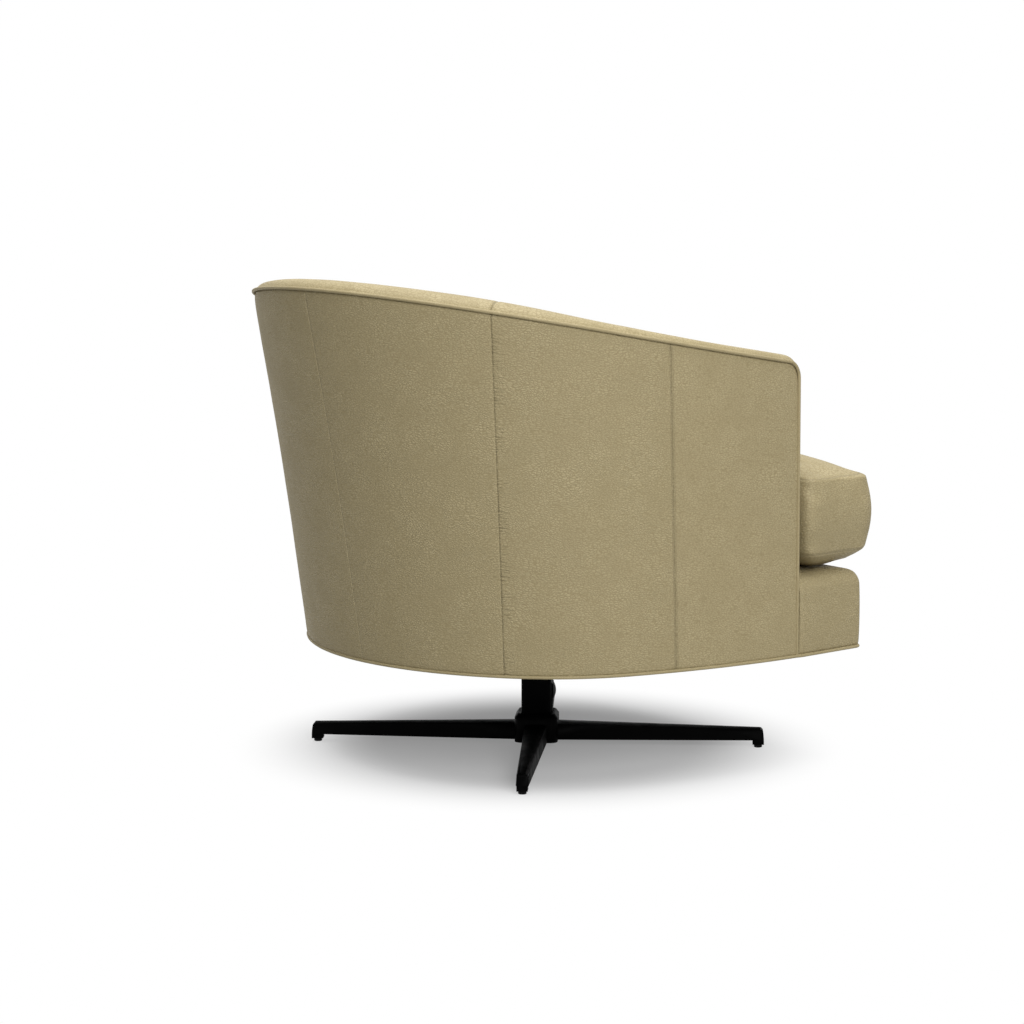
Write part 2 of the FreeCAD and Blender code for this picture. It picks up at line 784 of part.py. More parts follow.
def cushion():
    """Foam core in a boxed leather cover with crowned top and bottom."""
    low, high = cushion_seam_low, cushion_seam_high
    middle = (low + high) / 2
    quarter = (high - low) / (len(boxing_shares) - 1)
    skin = cushion_loft([(-share * cushion_bulge, low + place * quarter)
                         for place, share in enumerate(boxing_shares)])
    inside = [(cushion_cover, low - PASS), (cushion_cover, high + PASS)]
    boxing = skin.cut(cushion_loft(inside))
    strip = slab(middle - zip_height / 2, middle + zip_height / 2)
    pieces["cushion_zip"] = boxing.common(strip).common(band_of_y(fit_gap, HALF_FIELD))
    wide_strip = slab(middle - zip_height / 2 - fit_gap, middle + zip_height / 2 + fit_gap)
    pieces["cushion_boxing"] = boxing.cut(wide_strip.common(band_of_y(0, HALF_FIELD)))

    margin = cushion_cover + fit_gap
    pieces["cushion_core"] = cushion_loft([(margin, low), (margin, high)])

    ball = Part.makeSphere(cushion_crown_radius, Vector(0, 0, cushion_crown - cushion_crown_radius))
    rise = cushion_crown - high
    steps = [(0, fit_gap)] + [(inset, share * rise) for inset, share in cushion_top_roll]
    steps.append((cushion_top_inset, rise + 2 * PASS))
    top = cushion_loft([(inset, high + lift) for inset, lift in steps])
    pieces["cushion_top"] = top.common(ball)

    drop = low - deck_level - fit_gap
    steps = [(0, fit_gap)] + [(inset, share * drop) for inset, share in cushion_bottom_roll]
    pieces["cushion_bottom"] = cushion_loft([(inset, low - fall) for inset, fall in steps])


# Swivel base
def leg_section(distance, inset, skin):
    """Section across a leg at a distance from the hub: drafted sides under a crowned top."""
    share = (distance - hub_size / 2) / (leg_end - hub_size / 2)
    half = (leg_root_width + (leg_tip_width - leg_root_width) * share) / 2 - inset
    top = leg_root_top + (leg_tip_top - leg_root_top) * share - skin
    low = leg_root_bottom + (leg_tip_bottom - leg_root_bottom) * share
    if inset:
        low = low - PASS
    points = [Vector(distance, -half, low), Vector(distance, half, low),
              Vector(distance, half - leg_draft, top - leg_crown),
              Vector(distance, 0, top),
              Vector(distance, leg_draft - half, top - leg_crown)]
    return Part.Wire([line_edge(points[0], points[1]), line_edge(points[1], points[2]),
                      arc_edge(points[2], points[3], points[4]), line_edge(points[4], points[0])])


def leg():
    """One leg along +X: a tapered beam, hollow and ribbed underneath, with a foot block."""
    start = hub_size / 2 - leg_overlap
    beam = Part.makeLoft([leg_section(start, 0, 0), leg_section(leg_end, 0, 0)], True, True)
    span = (pocket_end - pocket_start - (pocket_count - 1) * pocket_rib) / pocket_count
    for index in range(pocket_count):
        near = pocket_start + index * (span + pocket_rib)
        far = near + span
        pocket = Part.makeLoft([leg_section(near, leg_wall, leg_skin),
                                leg_section(far, leg_wall, leg_skin)], True, True)
        beam = beam.cut(pocket)
    top = leg_tip_top - leg_crown
    inner = foot_circle - foot_block_length / 2
    block_wires = []
    for level, near, far, width in ((glide_height, inner, leg_end + foot_block_draft, foot_block_width),
                                    (top, inner - foot_block_lean, leg_end,
                                     leg_tip_width - 2 * leg_draft)):
        half = width / 2
        block_wires.append(Part.makePolygon([Vector(near, -half, level), Vector(far, -half, level),
                                             Vector(far, half, level), Vector(near, half, level),
                                             Vector(near, -half, level)]))
    block = Part.makeLoft(block_wires, True, True)
    return beam.fuse(block).removeSplitter()


def leg_headings():
    return [base_turn + 90 * quarter for quarter in range(4)]


def base_casting():
    """Cast hub and four legs in one piece, with a socket for the column."""
    casting = prism(rounded_square(hub_size, hub_corner, hub_underside, base_turn),
                    hub_height - hub_underside)
    one_leg = leg()
    for heading in leg_headings():
        casting = casting.fuse(one_leg.rotated(Vector(0, 0, 0), Vector(0, 0, 1), heading))
    socket = prism(rounded_square(column_size + 2 * fit_gap, column_corner + fit_gap,
                                  column_foot, base_turn), hub_height)
    casting = casting.cut(socket)
    recess = Part.makeCylinder(hub_recess_diameter / 2, hub_recess_depth + PASS,
                               Vector(0, 0, hub_underside - PASS))
    hole = Part.makeCylinder(hub_bolt / 2 + fit_gap, hub_height, Vector(0, 0, hub_underside))
    casting = casting.cut(recess).cut(hole)
    for heading in leg_headings():
        spot = glide_spot(heading)
        bore = Part.makeCylinder(glide_stem / 2 + running_gap, glide_stem_length + 2 * PASS,
                                 spot + Vector(0, 0, glide_height - PASS))
        casting = casting.cut(bore)
    pieces["base_casting"] = casting.removeSplitter()


def glide_spot(heading):
    angle = math.radians(heading)
    return Vector(foot_circle * math.cos(angle), foot_circle * math.sin(angle), 0)


def glides():
    """Four levelling glides: a round pad on a stem."""
    pad = Part.makeCylinder(glide_diameter / 2, glide_height - fit_gap)
    rim = [edge for edge in pad.Edges
           if abs(edge.CenterOfMass.z) < TOUCH and edge.Length > glide_diameter]
    pad = pad.makeChamfer(glide_chamfer, rim)
    stem = Part.makeCylinder(glide_stem / 2, glide_height + glide_stem_length - PASS)
    glide = pad.fuse(stem).removeSplitter()
    names = ["glide_back_left", "glide_back_right", "glide_front_right", "glide_front_left"]
    for name, heading in zip(names, leg_headings()):
        pieces[name] = glide.translated(glide_spot(heading))


def column():
    """Square sleeve with a round bore over a threaded foot, and the collar round it."""
    sleeve = prism(rounded_square(column_size, column_corner, column_foot, base_turn),
                   column_top - column_foot)
    sleeve = sleeve.cut(Part.makeCylinder(column_bore / 2, column_top, Vector(0, 0, plug_top())))
    face = column_size / 2
    low = hub_height + collar_height + 1
    boss_low = boss_level - boss_height / 2
    boss_high = boss_level + boss_height / 2
    points = [Vector(face - PASS, 0, low), Vector(face + boss_rise / 2, 0, low),
              Vector(face + boss_rise, 0, boss_low + boss_foot_taper),
              Vector(face + boss_rise, 0, boss_high - boss_top_taper),
              Vector(face - PASS, 0, boss_high)]
    side = Part.Face(Part.makePolygon(points + points[:1]))
    rib = side.extrude(Vector(0, boss_width, 0)).translated(Vector(0, -boss_width / 2, 0))
    rib.rotate(Vector(0, 0, 0), Vector(0, 0, 1), boss_heading())
    thread = Part.makeCylinder(hub_bolt / 2 + running_gap, plug_top(), Vector(0, 0, column_foot - PASS))
    pieces["column_sleeve"] = sleeve.fuse(rib).removeSplitter().cut(thread)

    wires = [rounded_square(collar_size + 2 * collar_flare, hub_corner, hub_height, base_turn),
             rounded_square(collar_size + 2 * collar_flare, hub_corner, hub_height + collar_land, base_turn),
             rounded_square(collar_size, hub_corner - collar_land, hub_height + collar_height, base_turn)]
    collar = Part.makeLoft(wires, True, True)
    inside = prism(rounded_square(column_size + 2 * fit_gap, column_corner + fit_gap,
                                  hub_height - PASS, base_turn), collar_height + 2 * PASS)
    pieces["column_collar"] = collar.cut(inside)


def boss_heading():
    return base_turn + 180


def plug_top():
    """Level of the bore's floor, under the foot of the spindle."""
    return spindle_foot - spindle_clearance


def boss_cap():
    """Domed cap on the boss of the column."""
    chord = cap_diameter / 2
    radius = (chord ** 2 + cap_dome ** 2) / (2 * cap_dome)
    ball = Part.makeSphere(radius, Vector(cap_dome - radius, 0, 0))
    front = Part.makeBox(cap_dome, cap_diameter, cap_diameter, Vector(0, -chord, -chord))
    cap = ball.common(front)
    cap.translate(Vector(column_size / 2 + boss_rise, 0, boss_level))
    cap.rotate(Vector(0, 0, 0), Vector(0, 0, 1), boss_heading())
    pieces["boss_cap"] = cap


def hexagon(width, level, height):
    radius = width / math.sqrt(3)
    corners = [math.radians(60 * corner) for corner in range(7)]
    points = [heading_point(radius, corner) + Vector(0, 0, level) for corner in corners]
    return Part.Face(Part.makePolygon(points)).extrude(Vector(0, 0, height))


def hub_fastening():
    """Bolt and washer that clamp the column into the hub from below."""
    washer_top = hub_underside + hub_recess_depth
    washer_low = washer_top - washer_thickness
    washer = tube(washer_diameter, hub_bolt + 2 * fit_gap, washer_low, washer_top)
    head = hexagon(hub_bolt_head, washer_low - hub_bolt_head_height, hub_bolt_head_height)
    shank_low = washer_low - PASS
    shank = Part.makeCylinder(hub_bolt / 2, plug_top() - 2 * PASS - shank_low, Vector(0, 0, shank_low))
    pieces["hub_bolt_and_washer"] = Part.makeCompound([head.fuse(shank).removeSplitter(), washer])


def bushes():
    """Flanged nylon bushes in the two ends of the sleeve's bore."""
    outer = column_bore - 2 * running_gap
    inner = spindle_diameter + 2 * running_gap
    low = spindle_foot + ring_groove + ring_thickness + fit_gap
    pieces["lower_bush"] = tube(outer, inner, low, low + bush_length)
    upper = tube(outer, inner, column_top - bush_length, column_top)
    flange = tube(race_outer, inner, column_top, column_top + bush_flange)
    pieces["upper_bush"] = upper.fuse(flange).removeSplitter()


def thrust_bearing():
    """Roller thrust bearing between the column and the flange of the seat's spindle."""
    low = column_top + bush_flange
    inner = spindle_diameter + 2 * race_bore_gap
    roller_low = low + race_thickness + running_gap
    centre = roller_low + roller_diameter / 2
    high = roller_low + roller_diameter + running_gap + race_thickness
    pieces["lower_race"] = tube(race_outer, inner, low, low + race_thickness)
    pieces["upper_race"] = tube(race_outer, inner, high - race_thickness, high)

    start = (race_outer + inner) / 4 - roller_length / 2
    cage = tube(race_outer - 2 * cage_margin, inner + 2 * cage_margin,
                centre - cage_thickness / 2, centre + cage_thickness / 2)
    slot_length = roller_length + 2 * fit_gap
    slot_width = roller_diameter + 4 * running_gap
    roller = Part.makeCylinder(roller_diameter / 2, roller_length,
                               Vector(start, 0, centre), Vector(1, 0, 0))
    slot = Part.makeBox(slot_length, slot_width, 2 * cage_thickness,
                        Vector(start - fit_gap, -slot_width / 2, centre - cage_thickness))
    rollers = []
    slots = []
    for index in range(roller_count):
        turn = 360 * index / roller_count
        rollers.append(roller.rotated(Vector(0, 0, 0), Vector(0, 0, 1), turn))
        slots.append(slot.rotated(Vector(0, 0, 0), Vector(0, 0, 1), turn))
    pieces["bearing_rollers"] = Part.makeCompound(rollers)
    pieces["bearing_cage"] = cage.cut(slots)
    return high


def swivel_spindle(bearing_top):
    """Shaft with the flange that lifts the seat plate, and its retaining ring and washer."""
    plate_low = board_level - plate_thickness
    shaft = Part.makeCylinder(spindle_diameter / 2, plate_low - spindle_foot, Vector(0, 0, spindle_foot))
    flange = Part.makeCylinder(flange_diameter / 2, plate_low - bearing_top, Vector(0, 0, bearing_top))
    ring_low = spindle_foot + ring_groove
    root = spindle_diameter - 2 * ring_groove_depth
    groove = tube(spindle_diameter + 2 * PASS, root, ring_low, ring_low + ring_thickness)
    pieces["swivel_spindle"] = shaft.fuse(flange).removeSplitter().cut(groove)

    ring = tube(column_bore - 2 * ring_clearance, root + 2 * running_gap, ring_low,
                ring_low + ring_thickness)
    mouth = Part.makeBox(column_bore, ring_mouth, ring_thickness + 2 * PASS,
                         Vector(0, -ring_mouth / 2, ring_low - PASS))
    pieces["retaining_ring"] = ring.cut(mouth)


def plate_bolt_spots():
    half = plate_bolt_spacing / 2
    return [(half, half), (-half, half), (-half, -half), (half, -half)]


def seat_plate():
    """Pressed steel plate under the seat board, with four bolts and their tee nuts."""
    low = board_level - plate_thickness
    plate = prism(rounded_square(plate_size, plate_corner, low, 0), plate_thickness)
    bolts = []
    nuts = []
    board_top = board_level + board
    for x, y in plate_bolt_spots():
        spot = Vector(x, y, 0)
        hole = Part.makeCylinder(plate_bolt / 2 + fit_gap, plate_thickness + 2 * PASS,
                                 spot + Vector(0, 0, low - PASS))
        plate = plate.cut(hole)
        head = hexagon(bolt_head_width, low - bolt_head_height, bolt_head_height).translated(spot)
        shank = Part.makeCylinder(plate_bolt / 2, plate_thickness + board, spot + Vector(0, 0, low))
        bolts.append(head.fuse(shank).removeSplitter())
        nut_low = spot + Vector(0, 0, board_top - t_nut_height)
        barrel = Part.makeCylinder(t_nut_barrel / 2, t_nut_height, nut_low)
        flange = Part.makeCylinder(t_nut_flange / 2, t_nut_flange_thickness, spot + Vector(0, 0, board_top))
        bore = Part.makeCylinder(plate_bolt / 2 + running_gap, 2 * t_nut_height,
                                 nut_low - Vector(0, 0, PASS))
        nuts.append(barrel.fuse(flange).cut(bore).removeSplitter())
    pieces["seat_plate"] = plate
    pieces["plate_bolts"] = Part.makeCompound(bolts)
    pieces["plate_tee_nuts"] = Part.makeCompound(nuts)


# Build
outer_leather()
shell_welts()
rim_bands()
bottom_welt()
seat_board()
shell_frame()
spring_frame()
clip_top = springs_and_clips()
seat_deck(clip_top)
inner_pads()
apron()
dust_cover()
cushion()
base_casting()
glides()
column()
boss_cap()
hub_fastening()
bushes()
swivel_spindle(thrust_bearing())
seat_plate()

# Stand the chair with the middle of its footprint at the origin
front_most = -cushion_reach - cushion_bow - cushion_bulge
rim_share = (rim_back_height - shell_foot) / (plan_top - shell_foot)
back_most = foot_reach + (top_reach - foot_reach) * rim_share + welt_proud
axis_depth = -(front_most + back_most) / 2
print("swivel axis at y = %.2f" % axis_depth)

for name, shape in pieces.items():
    shape = shape.translated(Vector(0, axis_depth, 0))
    box = shape.BoundBox
    print("%-26s solids %d valid %s" % (name, len(shape.Solids), shape.isValid()),
          " ".join("%.1f" % value for value in (box.XMin, box.XMax, box.YMin, box.YMax, box.ZMin, box.ZMax)))
    shape.exportStep("parts/" + name + ".step")
print("nodes", len(pieces))
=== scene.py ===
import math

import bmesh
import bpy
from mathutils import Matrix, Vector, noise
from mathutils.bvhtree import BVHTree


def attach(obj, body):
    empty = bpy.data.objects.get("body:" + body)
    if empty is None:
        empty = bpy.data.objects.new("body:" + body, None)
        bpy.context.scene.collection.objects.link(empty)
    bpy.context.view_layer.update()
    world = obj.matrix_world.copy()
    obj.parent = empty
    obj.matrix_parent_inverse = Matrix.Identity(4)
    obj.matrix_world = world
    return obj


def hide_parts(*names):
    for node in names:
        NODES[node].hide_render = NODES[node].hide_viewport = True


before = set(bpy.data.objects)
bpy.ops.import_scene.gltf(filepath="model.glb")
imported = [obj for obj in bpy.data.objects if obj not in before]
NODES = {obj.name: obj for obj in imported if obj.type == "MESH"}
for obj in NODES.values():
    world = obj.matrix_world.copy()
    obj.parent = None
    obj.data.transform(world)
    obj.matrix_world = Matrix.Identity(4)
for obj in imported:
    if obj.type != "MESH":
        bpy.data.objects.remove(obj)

# %% [markdown]
# A leather barrel chair on a black swivel base. The solids of the chair are loaded above as a fixed
# frame, in metres, with the floor at z = 0 and the front at -Y. They give every piece its place. This
# script dresses them: soft pieces are made again as leather over padding, and hard pieces keep their
# shape and get a finish.

bpy.context.view_layer.update()
MM = 0.001

# %% [markdown]
# The camera stands behind the chair's right side and a little above it, and looks slightly down. A
# long lens keeps the verticals calm. The angles are set on the camera object, because a rotation about
# X tips it and a rotation about Z then turns it, which is how a tripod works too.

# %% Camera
camera_data = bpy.data.cameras.new("camera")
camera_data.sensor_width = 36.0
camera_data.lens = 101.95
camera = bpy.data.objects.new("camera", camera_data)
camera.location = (-3.28814, 2.85664, 0.94363)
camera.rotation_euler = (math.radians(90 - 7.564), 0.0, math.radians(-130.997))
bpy.context.scene.collection.objects.link(camera)
bpy.context.scene.camera = camera
print("camera at", tuple(round(v, 2) for v in camera.location))

# %% [markdown]
# The tub of the chair is one raked wall. Its outline is drawn twice, at the foot and at the rim, each
# time as three arcs a side that change at the same headings, and straight lines join the two. A point
# of the wall is then named by a turn, from 0 at the middle of the back to 3 at the front of an arm, and
# by its level. All leather of the wall is laid out with these two numbers, so seams, bands and piping
# meet without fitting. Moving the vertices of a plain grid by such a rule is simpler than pulling a
# box into shape, and the rows stay even.

# %% Plans of the raked wall
FRONT_TURN = 3.0
HALF_LENGTH = 0.86
AXIS_Y = -0.05239
FOOT_LEVEL = 0.169
TOP_LEVEL = 0.740
ARM_FRONT = -0.167
TURNS = (math.radians(36.5), math.radians(35.0))
RIM_WIDTH = 0.095
FOOT_PLAN = (0.340, 0.3975, 0.2865, 1.065)
TOP_PLAN = (0.446, 0.3864, 0.3813, 0.6915)
SEAT_PLAN = (0.140, 0.313, 0.145, 0.575)
RIM_PLAN = tuple(size - RIM_WIDTH for size in TOP_PLAN)
OUTSIDE = (FOOT_PLAN, TOP_PLAN)
INSIDE = (SEAT_PLAN, RIM_PLAN)


def clamped(value):
    """A value kept between 0 and 1."""
    return min(1.0, max(0.0, value))


def eased(share):
    """A share between 0 and 1 that starts and ends gently."""
    return share * share * (3 - 2 * share)


def heading(angle, length=1.0):
    """A step of a length at an angle from the middle of the back."""
    return Vector((math.sin(angle), math.cos(angle))) * length


def plan_point(plan, turn, inset):
    """Point of one plan at a turn, moved inwards by an inset."""
    reach, back, shoulder, side = plan
    centre = Vector((0.0, reach - back))
    radius, start, swing, part = back, 0.0, TURNS[0], abs(turn)
    if part > 1.0:
        centre = centre + heading(TURNS[0], back - shoulder)
        radius, start, swing, part = shoulder, TURNS[0], TURNS[1], part - 1.0
    if part > 1.0:
        start = TURNS[0] + TURNS[1]
        centre = centre + heading(start, shoulder - side)
        radius = side
        swing = math.acos((ARM_FRONT - centre.y) / (side - inset)) - start
        part = part - 1.0
    spot = centre + heading(start + part * swing, radius - inset)
    return Vector((math.copysign(spot.x, turn) if turn else spot.x, spot.y))


def wall_point(faces, turn, level, inset=0.0):
    """Point of a raked face at a turn and a level."""
    share = (level - FOOT_LEVEL) / (TOP_LEVEL - FOOT_LEVEL)
    low = plan_point(faces[0], turn, inset)
    high = plan_point(faces[1], turn, inset)
    spot = low.lerp(high, share)
    return Vector((spot.x, spot.y + AXIS_Y, level))


def turn_where(faces, level, inset, side, reached):
    """The turn at which a test on the wall's point becomes true, found by halving."""
    low, high = 0.0, FRONT_TURN
    for _ in range(22):
        middle = (low + high) / 2
        if reached(wall_point(faces, side * middle, level, inset)):
            high = middle
        else:
            low = middle
    return side * high


def mirrored(points):
    """The points on the other side of the chair, in reverse order."""
    return [Vector((-point.x, *point[1:])) for point in reversed(points)]


print("rim width", RIM_WIDTH, "back at foot", round(wall_point(OUTSIDE, 0, FOOT_LEVEL).y, 3))

# %% [markdown]
# Seen from the side, the rim falls in one long hollow curve from the back to the arm, turns a round
# corner and runs straight down. Three points fix the long circle, and the corner touches it.

# %% Rim in side view
RIM_BACK = 0.720
RIM_ARM = 0.605
RIM_SAG = 0.0055
ARM_CORNER = 0.028


def circle_through(first, middle, last):
    """Centre and radius of the circle through three points of a plane."""
    (ax, ay), (bx, by), (cx, cy) = first, middle, last
    d = 2 * (ax * (by - cy) + bx * (cy - ay) + cx * (ay - by))
    a, b, c = ax * ax + ay * ay, bx * bx + by * by, cx * cx + cy * cy
    x = (a * (by - cy) + b * (cy - ay) + c * (ay - by)) / d
    y = (a * (cx - bx) + b * (ax - cx) + c * (bx - ax)) / d
    return Vector((x, y)), math.hypot(ax - x, ay - y)


rim_back_point = Vector((TOP_PLAN[0] + AXIS_Y, RIM_BACK))
rim_front_point = Vector((ARM_FRONT + AXIS_Y, RIM_ARM))
rim_middle_point = (rim_back_point + rim_front_point) / 2 - Vector((0, RIM_SAG))
RIM_CENTRE, RIM_RADIUS = circle_through(rim_back_point, rim_middle_point, rim_front_point)


def rim_level(y, depth=0.0):
    """Level of the rim at a depth below its long curve."""
    return RIM_CENTRE.y - math.sqrt((RIM_RADIUS + depth) ** 2 - (y - RIM_CENTRE.x) ** 2)


def rim_spot(faces, turn, inset, depth):
    """Point of a face under the long curve of the rim, at a turn."""
    level = RIM_BACK
    for _ in range(6):
        level = rim_level(wall_point(faces, turn, level, inset).y, depth)
    return wall_point(faces, turn, level, inset)


def arm_corner(depth):
    """Centre of the arm's round corner and the angle at which it leaves the long curve."""
    front = ARM_FRONT + AXIS_Y + depth
    radius = ARM_CORNER - depth
    y = front + radius
    level = RIM_CENTRE.y - math.sqrt((RIM_RADIUS + depth + radius) ** 2 - (y - RIM_CENTRE.x) ** 2)
    lean = math.atan2(RIM_CENTRE.x - y, RIM_CENTRE.y - level)
    return Vector((y, level)), radius, lean


print("rim radius", round(RIM_RADIUS, 3), "corner", [round(v, 3) for v in arm_corner(0)[0]])

# %% [markdown]
# Several finishes share the same effects, so each effect is a node group with named sockets, built
# once. The hide's grain is the most important. Real pebbled leather is a net of small raised cells
# whose valleys are a little darker, with a finer wrinkle on top and slow clouds of colour over the
# whole skin. Cells from a Voronoi texture, bent by noise so that none is a perfect polygon, give the
# net. A picture of leather would be quicker, but it repeats and blurs close up.

# %% Helpers for node trees
def new_group(name, inputs, outputs):
    """An empty node group with float, colour or vector sockets."""
    group = bpy.data.node_groups.new(name, "ShaderNodeTree")
    kinds = {"f": "NodeSocketFloat", "c": "NodeSocketColor", "v": "NodeSocketVector"}
    for title, kind, value in inputs:
        socket = group.interface.new_socket(name=title, in_out="INPUT", socket_type=kinds[kind])
        if value is not None:
            socket.default_value = value
    for title, kind in outputs:
        group.interface.new_socket(name=title, in_out="OUTPUT", socket_type=kinds[kind])
    source = group.nodes.new("NodeGroupInput")
    sink = group.nodes.new("NodeGroupOutput")
    return group, source.outputs, sink.inputs


def feed(tree, socket, value):
    """Link an output to a socket, or give the socket a value; a colour may come without its alpha."""
    if isinstance(value, bpy.types.NodeSocket):
        tree.links.new(value, socket)
    elif socket.type == "RGBA" and len(value) == 3:
        socket.default_value = (*value, 1.0)
    else:
        socket.default_value = value


def node(tree, kind, settings=None, **inputs):
    """A node with its properties and inputs set; an input is named by its title or its place."""
    made = tree.nodes.new("ShaderNode" + kind)
    for key, value in (settings or {}).items():
        setattr(made, key, value)
    for key, value in inputs.items():
        by_place = key[0] == "i" and key[1:].isdigit()
        feed(tree, made.inputs[int(key[1:]) if by_place else key.replace("_", " ")], value)
    return made


def maths(tree, operation, first, second=0.0):
    """The output of a math node."""
    return node(tree, "Math", {"operation": operation}, i0=first, i1=second).outputs[0]


def times(tree, first, *others):
    """A product."""
    for other in others:
        first = maths(tree, "MULTIPLY", first, other)
    return first


def plus(tree, first, *others):
    """A sum."""
    for other in others:
        first = maths(tree, "ADD", first, other)
    return first


def vectors(tree, operation, first, second):
    """The output of a vector math node with two vectors."""
    return node(tree, "VectorMath", {"operation": operation}, i0=first, i1=second).outputs[0]


def mixed(tree, share, first, second, blend="MIX"):
    """The output of a colour mix."""
    settings = {"data_type": "RGBA", "blend_type": blend}
    return node(tree, "Mix", settings, i0=share, i6=first, i7=second).outputs[2]


def toned(color, share):
    """A colour, darker or lighter."""
    return tuple(share * part for part in color)


def smooth_range(tree, value, low, high, first=0.0, last=1.0):
    """A smooth step of a value between two limits."""
    settings = {"interpolation_type": "SMOOTHSTEP"}
    return node(tree, "MapRange", settings, i0=value, i1=low, i2=high, i3=first, i4=last).outputs[0]


def noisy(tree, place, scale, detail, settings=None, **inputs):
    """The value of a noise texture."""
    made = node(tree, "TexNoise", settings, Vector=place, Scale=scale, Detail=detail, **inputs)
    return made.outputs["Fac"]


def split(tree, vector):
    """The three numbers of a vector."""
    return node(tree, "SeparateXYZ", None, Vector=vector).outputs


def map_of(tree, title):
    """The numbers of one of the maps that the pieces carry."""
    return split(tree, node(tree, "UVMap", {"uv_map": title}).outputs[0])


def linear(red, green, blue):
    """A colour read as screen values, turned to the linear values that a shader takes."""
    def channel(value):
        value = value / 255
        return value / 12.92 if value <= 0.04045 else ((value + 0.055) / 1.055) ** 2.4
    return (channel(red), channel(green), channel(blue))


# %% Grain of the hide
def hide_grain_group():
    """Pebbled hide: colour, roughness and height in millimetres, from a place and a base colour."""
    group, come, go = new_group(
        "hide grain",
        [("Place", "v", None), ("Base", "c", (0.5, 0.45, 0.3, 1)), ("Cell size", "f", 5.2),
         ("Tone", "f", 0.14)],
        [("Color", "c"), ("Roughness", "f"), ("Height", "f")])
    place = come["Place"]
    bent = place
    for pattern, reach in ((15.0, 0.026), (140.0, 0.0032)):
        drift = node(group, "TexNoise", None, Vector=place, Scale=pattern, Detail=1.5).outputs["Color"]
        centred = vectors(group, "SUBTRACT", drift, (0.5, 0.5, 0.5))
        pull = node(group, "VectorMath", {"operation": "SCALE"}, i0=centred, Scale=reach).outputs[0]
        bent = vectors(group, "ADD", bent, pull)
    flat = vectors(group, "MULTIPLY", bent, (1.0, 1.0, 2.2))
    scale = maths(group, "DIVIDE", 1000.0, come["Cell size"])
    net = node(group, "TexVoronoi", {"feature": "DISTANCE_TO_EDGE"}, Vector=flat, Scale=scale)
    edge = net.outputs["Distance"]
    swell = noisy(group, flat, times(group, scale, 0.8), 1.0)
    fine = noisy(group, place, 900.0, 2.0)
    strength = smooth_range(group, noisy(group, place, 20.0, 2.0), 0.3, 0.7, 0.6, 1.0)
    dome = smooth_range(group, edge, 0.0, 0.32, 0.0, 0.50)
    height = times(group, plus(group, dome, times(group, swell, 0.35)), strength)
    height = plus(group, height, times(group, fine, 0.012))
    dark = mixed(group, 1.0, come["Base"], (0.73, 0.71, 0.66), "MULTIPLY")
    light = mixed(group, 1.0, come["Base"], (1.04, 1.04, 1.04), "MULTIPLY")
    pebble = times(group, smooth_range(group, edge, 0.0, 0.18), strength)
    clouds = times(group, noisy(group, place, 5.0, 3.0), come["Tone"])
    cloudy = mixed(group, clouds, mixed(group, pebble, dark, light), dark)
    group.links.new(cloudy, go["Color"])
    group.links.new(smooth_range(group, pebble, 0.0, 1.0, 0.66, 0.52), go["Roughness"])
    group.links.new(height, go["Height"])
    return group


HIDE_GRAIN = hide_grain_group()
print("groups", [group.name for group in bpy.data.node_groups])

# %% [markdown]
# Every seam pulls the leather in. Close to it the skin dips to the thread, small puckers run across,
# and a row of stitches may show beside it. The pieces carry a map called "edges" whose two numbers are
# the distances, in metres, to the seams at its two sides, and a map called "cloth" with the length
# along the wall and the level. The seam group reads them and gives a height, a mask of a painted line
# along the seam (painted shade in the crease, and on the raised middle seam of the back a painted
# highlight) and a mask of the thread, so one material serves all panels.

# %% Seams, puckers and stitches
def seam_group():
    """Height and masks beside a sewn edge, from the distance to it and the run along it."""
    group, come, go = new_group(
        "sewn edge",
        [("Distance", "f", 1.0), ("Run", "f", 0.0), ("Pucker", "f", 0.0), ("Stitch at", "f", 0.0025),
         ("Stitch", "f", 0.0), ("Dip", "f", 1.0)],
        [("Height", "f"), ("Line", "f"), ("Thread", "f")])
    near, run = come["Distance"], come["Run"]
    flat = {"noise_dimensions": "2D"}
    roll = smooth_range(group, near, 0.0, 0.0026, 0.0, 0.3)
    # Mask of a painted line close to the seam: sewn() colours it darker as painted shade in the crease
    # where the seam dips, and lighter as a painted highlight where the seam is raised.
    painted_seam_line = smooth_range(group, near, 0.0002, 0.0009, 1.0, 0.0)
    across = node(group, "CombineXYZ", None, X=times(group, near, 60.0), Y=times(group, run, 330.0))
    wrinkle = noisy(group, across.outputs[0], 1.0, 1.5, flat)
    spread = node(group, "CombineXYZ", None, X=0.0, Y=times(group, run, 16.0))
    bunches = smooth_range(group, noisy(group, spread.outputs[0], 1.0, 1.0, flat), 0.38, 0.56)
    reach = smooth_range(group, near, 0.005, 0.022, 1.0, 0.0)
    pucker = times(group, bunches, reach, come["Pucker"], maths(group, "SUBTRACT", wrinkle, 0.5))
    off = maths(group, "ABSOLUTE", maths(group, "SUBTRACT", near, come["Stitch at"]))
    row = smooth_range(group, off, 0.00015, 0.00045, 1.0, 0.0)
    dash = smooth_range(group, maths(group, "PINGPONG", run, 0.00225), 0.0002, 0.0006)
    thread = times(group, row, dash, come["Stitch"])
    dent = times(group, smooth_range(group, off, 0.0003, 0.0012, -0.18, 0.0), come["Stitch"])
    height = plus(group, times(group, roll, come["Dip"]), times(group, pucker, 3.4))
    height = plus(group, height, plus(group, dent, times(group, thread, 0.12)))
    group.links.new(height, go["Height"])
    group.links.new(painted_seam_line, go["Line"])
    group.links.new(thread, go["Thread"])
    return group


SEWN_EDGE = seam_group()
HIDE = linear(167, 154, 119)
HIDE_SHINE = 0.24
STITCH_AT = 0.0026


def placed(tree, group, **inputs):
    """The outputs of a group node with its inputs set."""
    return node(tree, "Group", {"node_tree": group}, **inputs).outputs


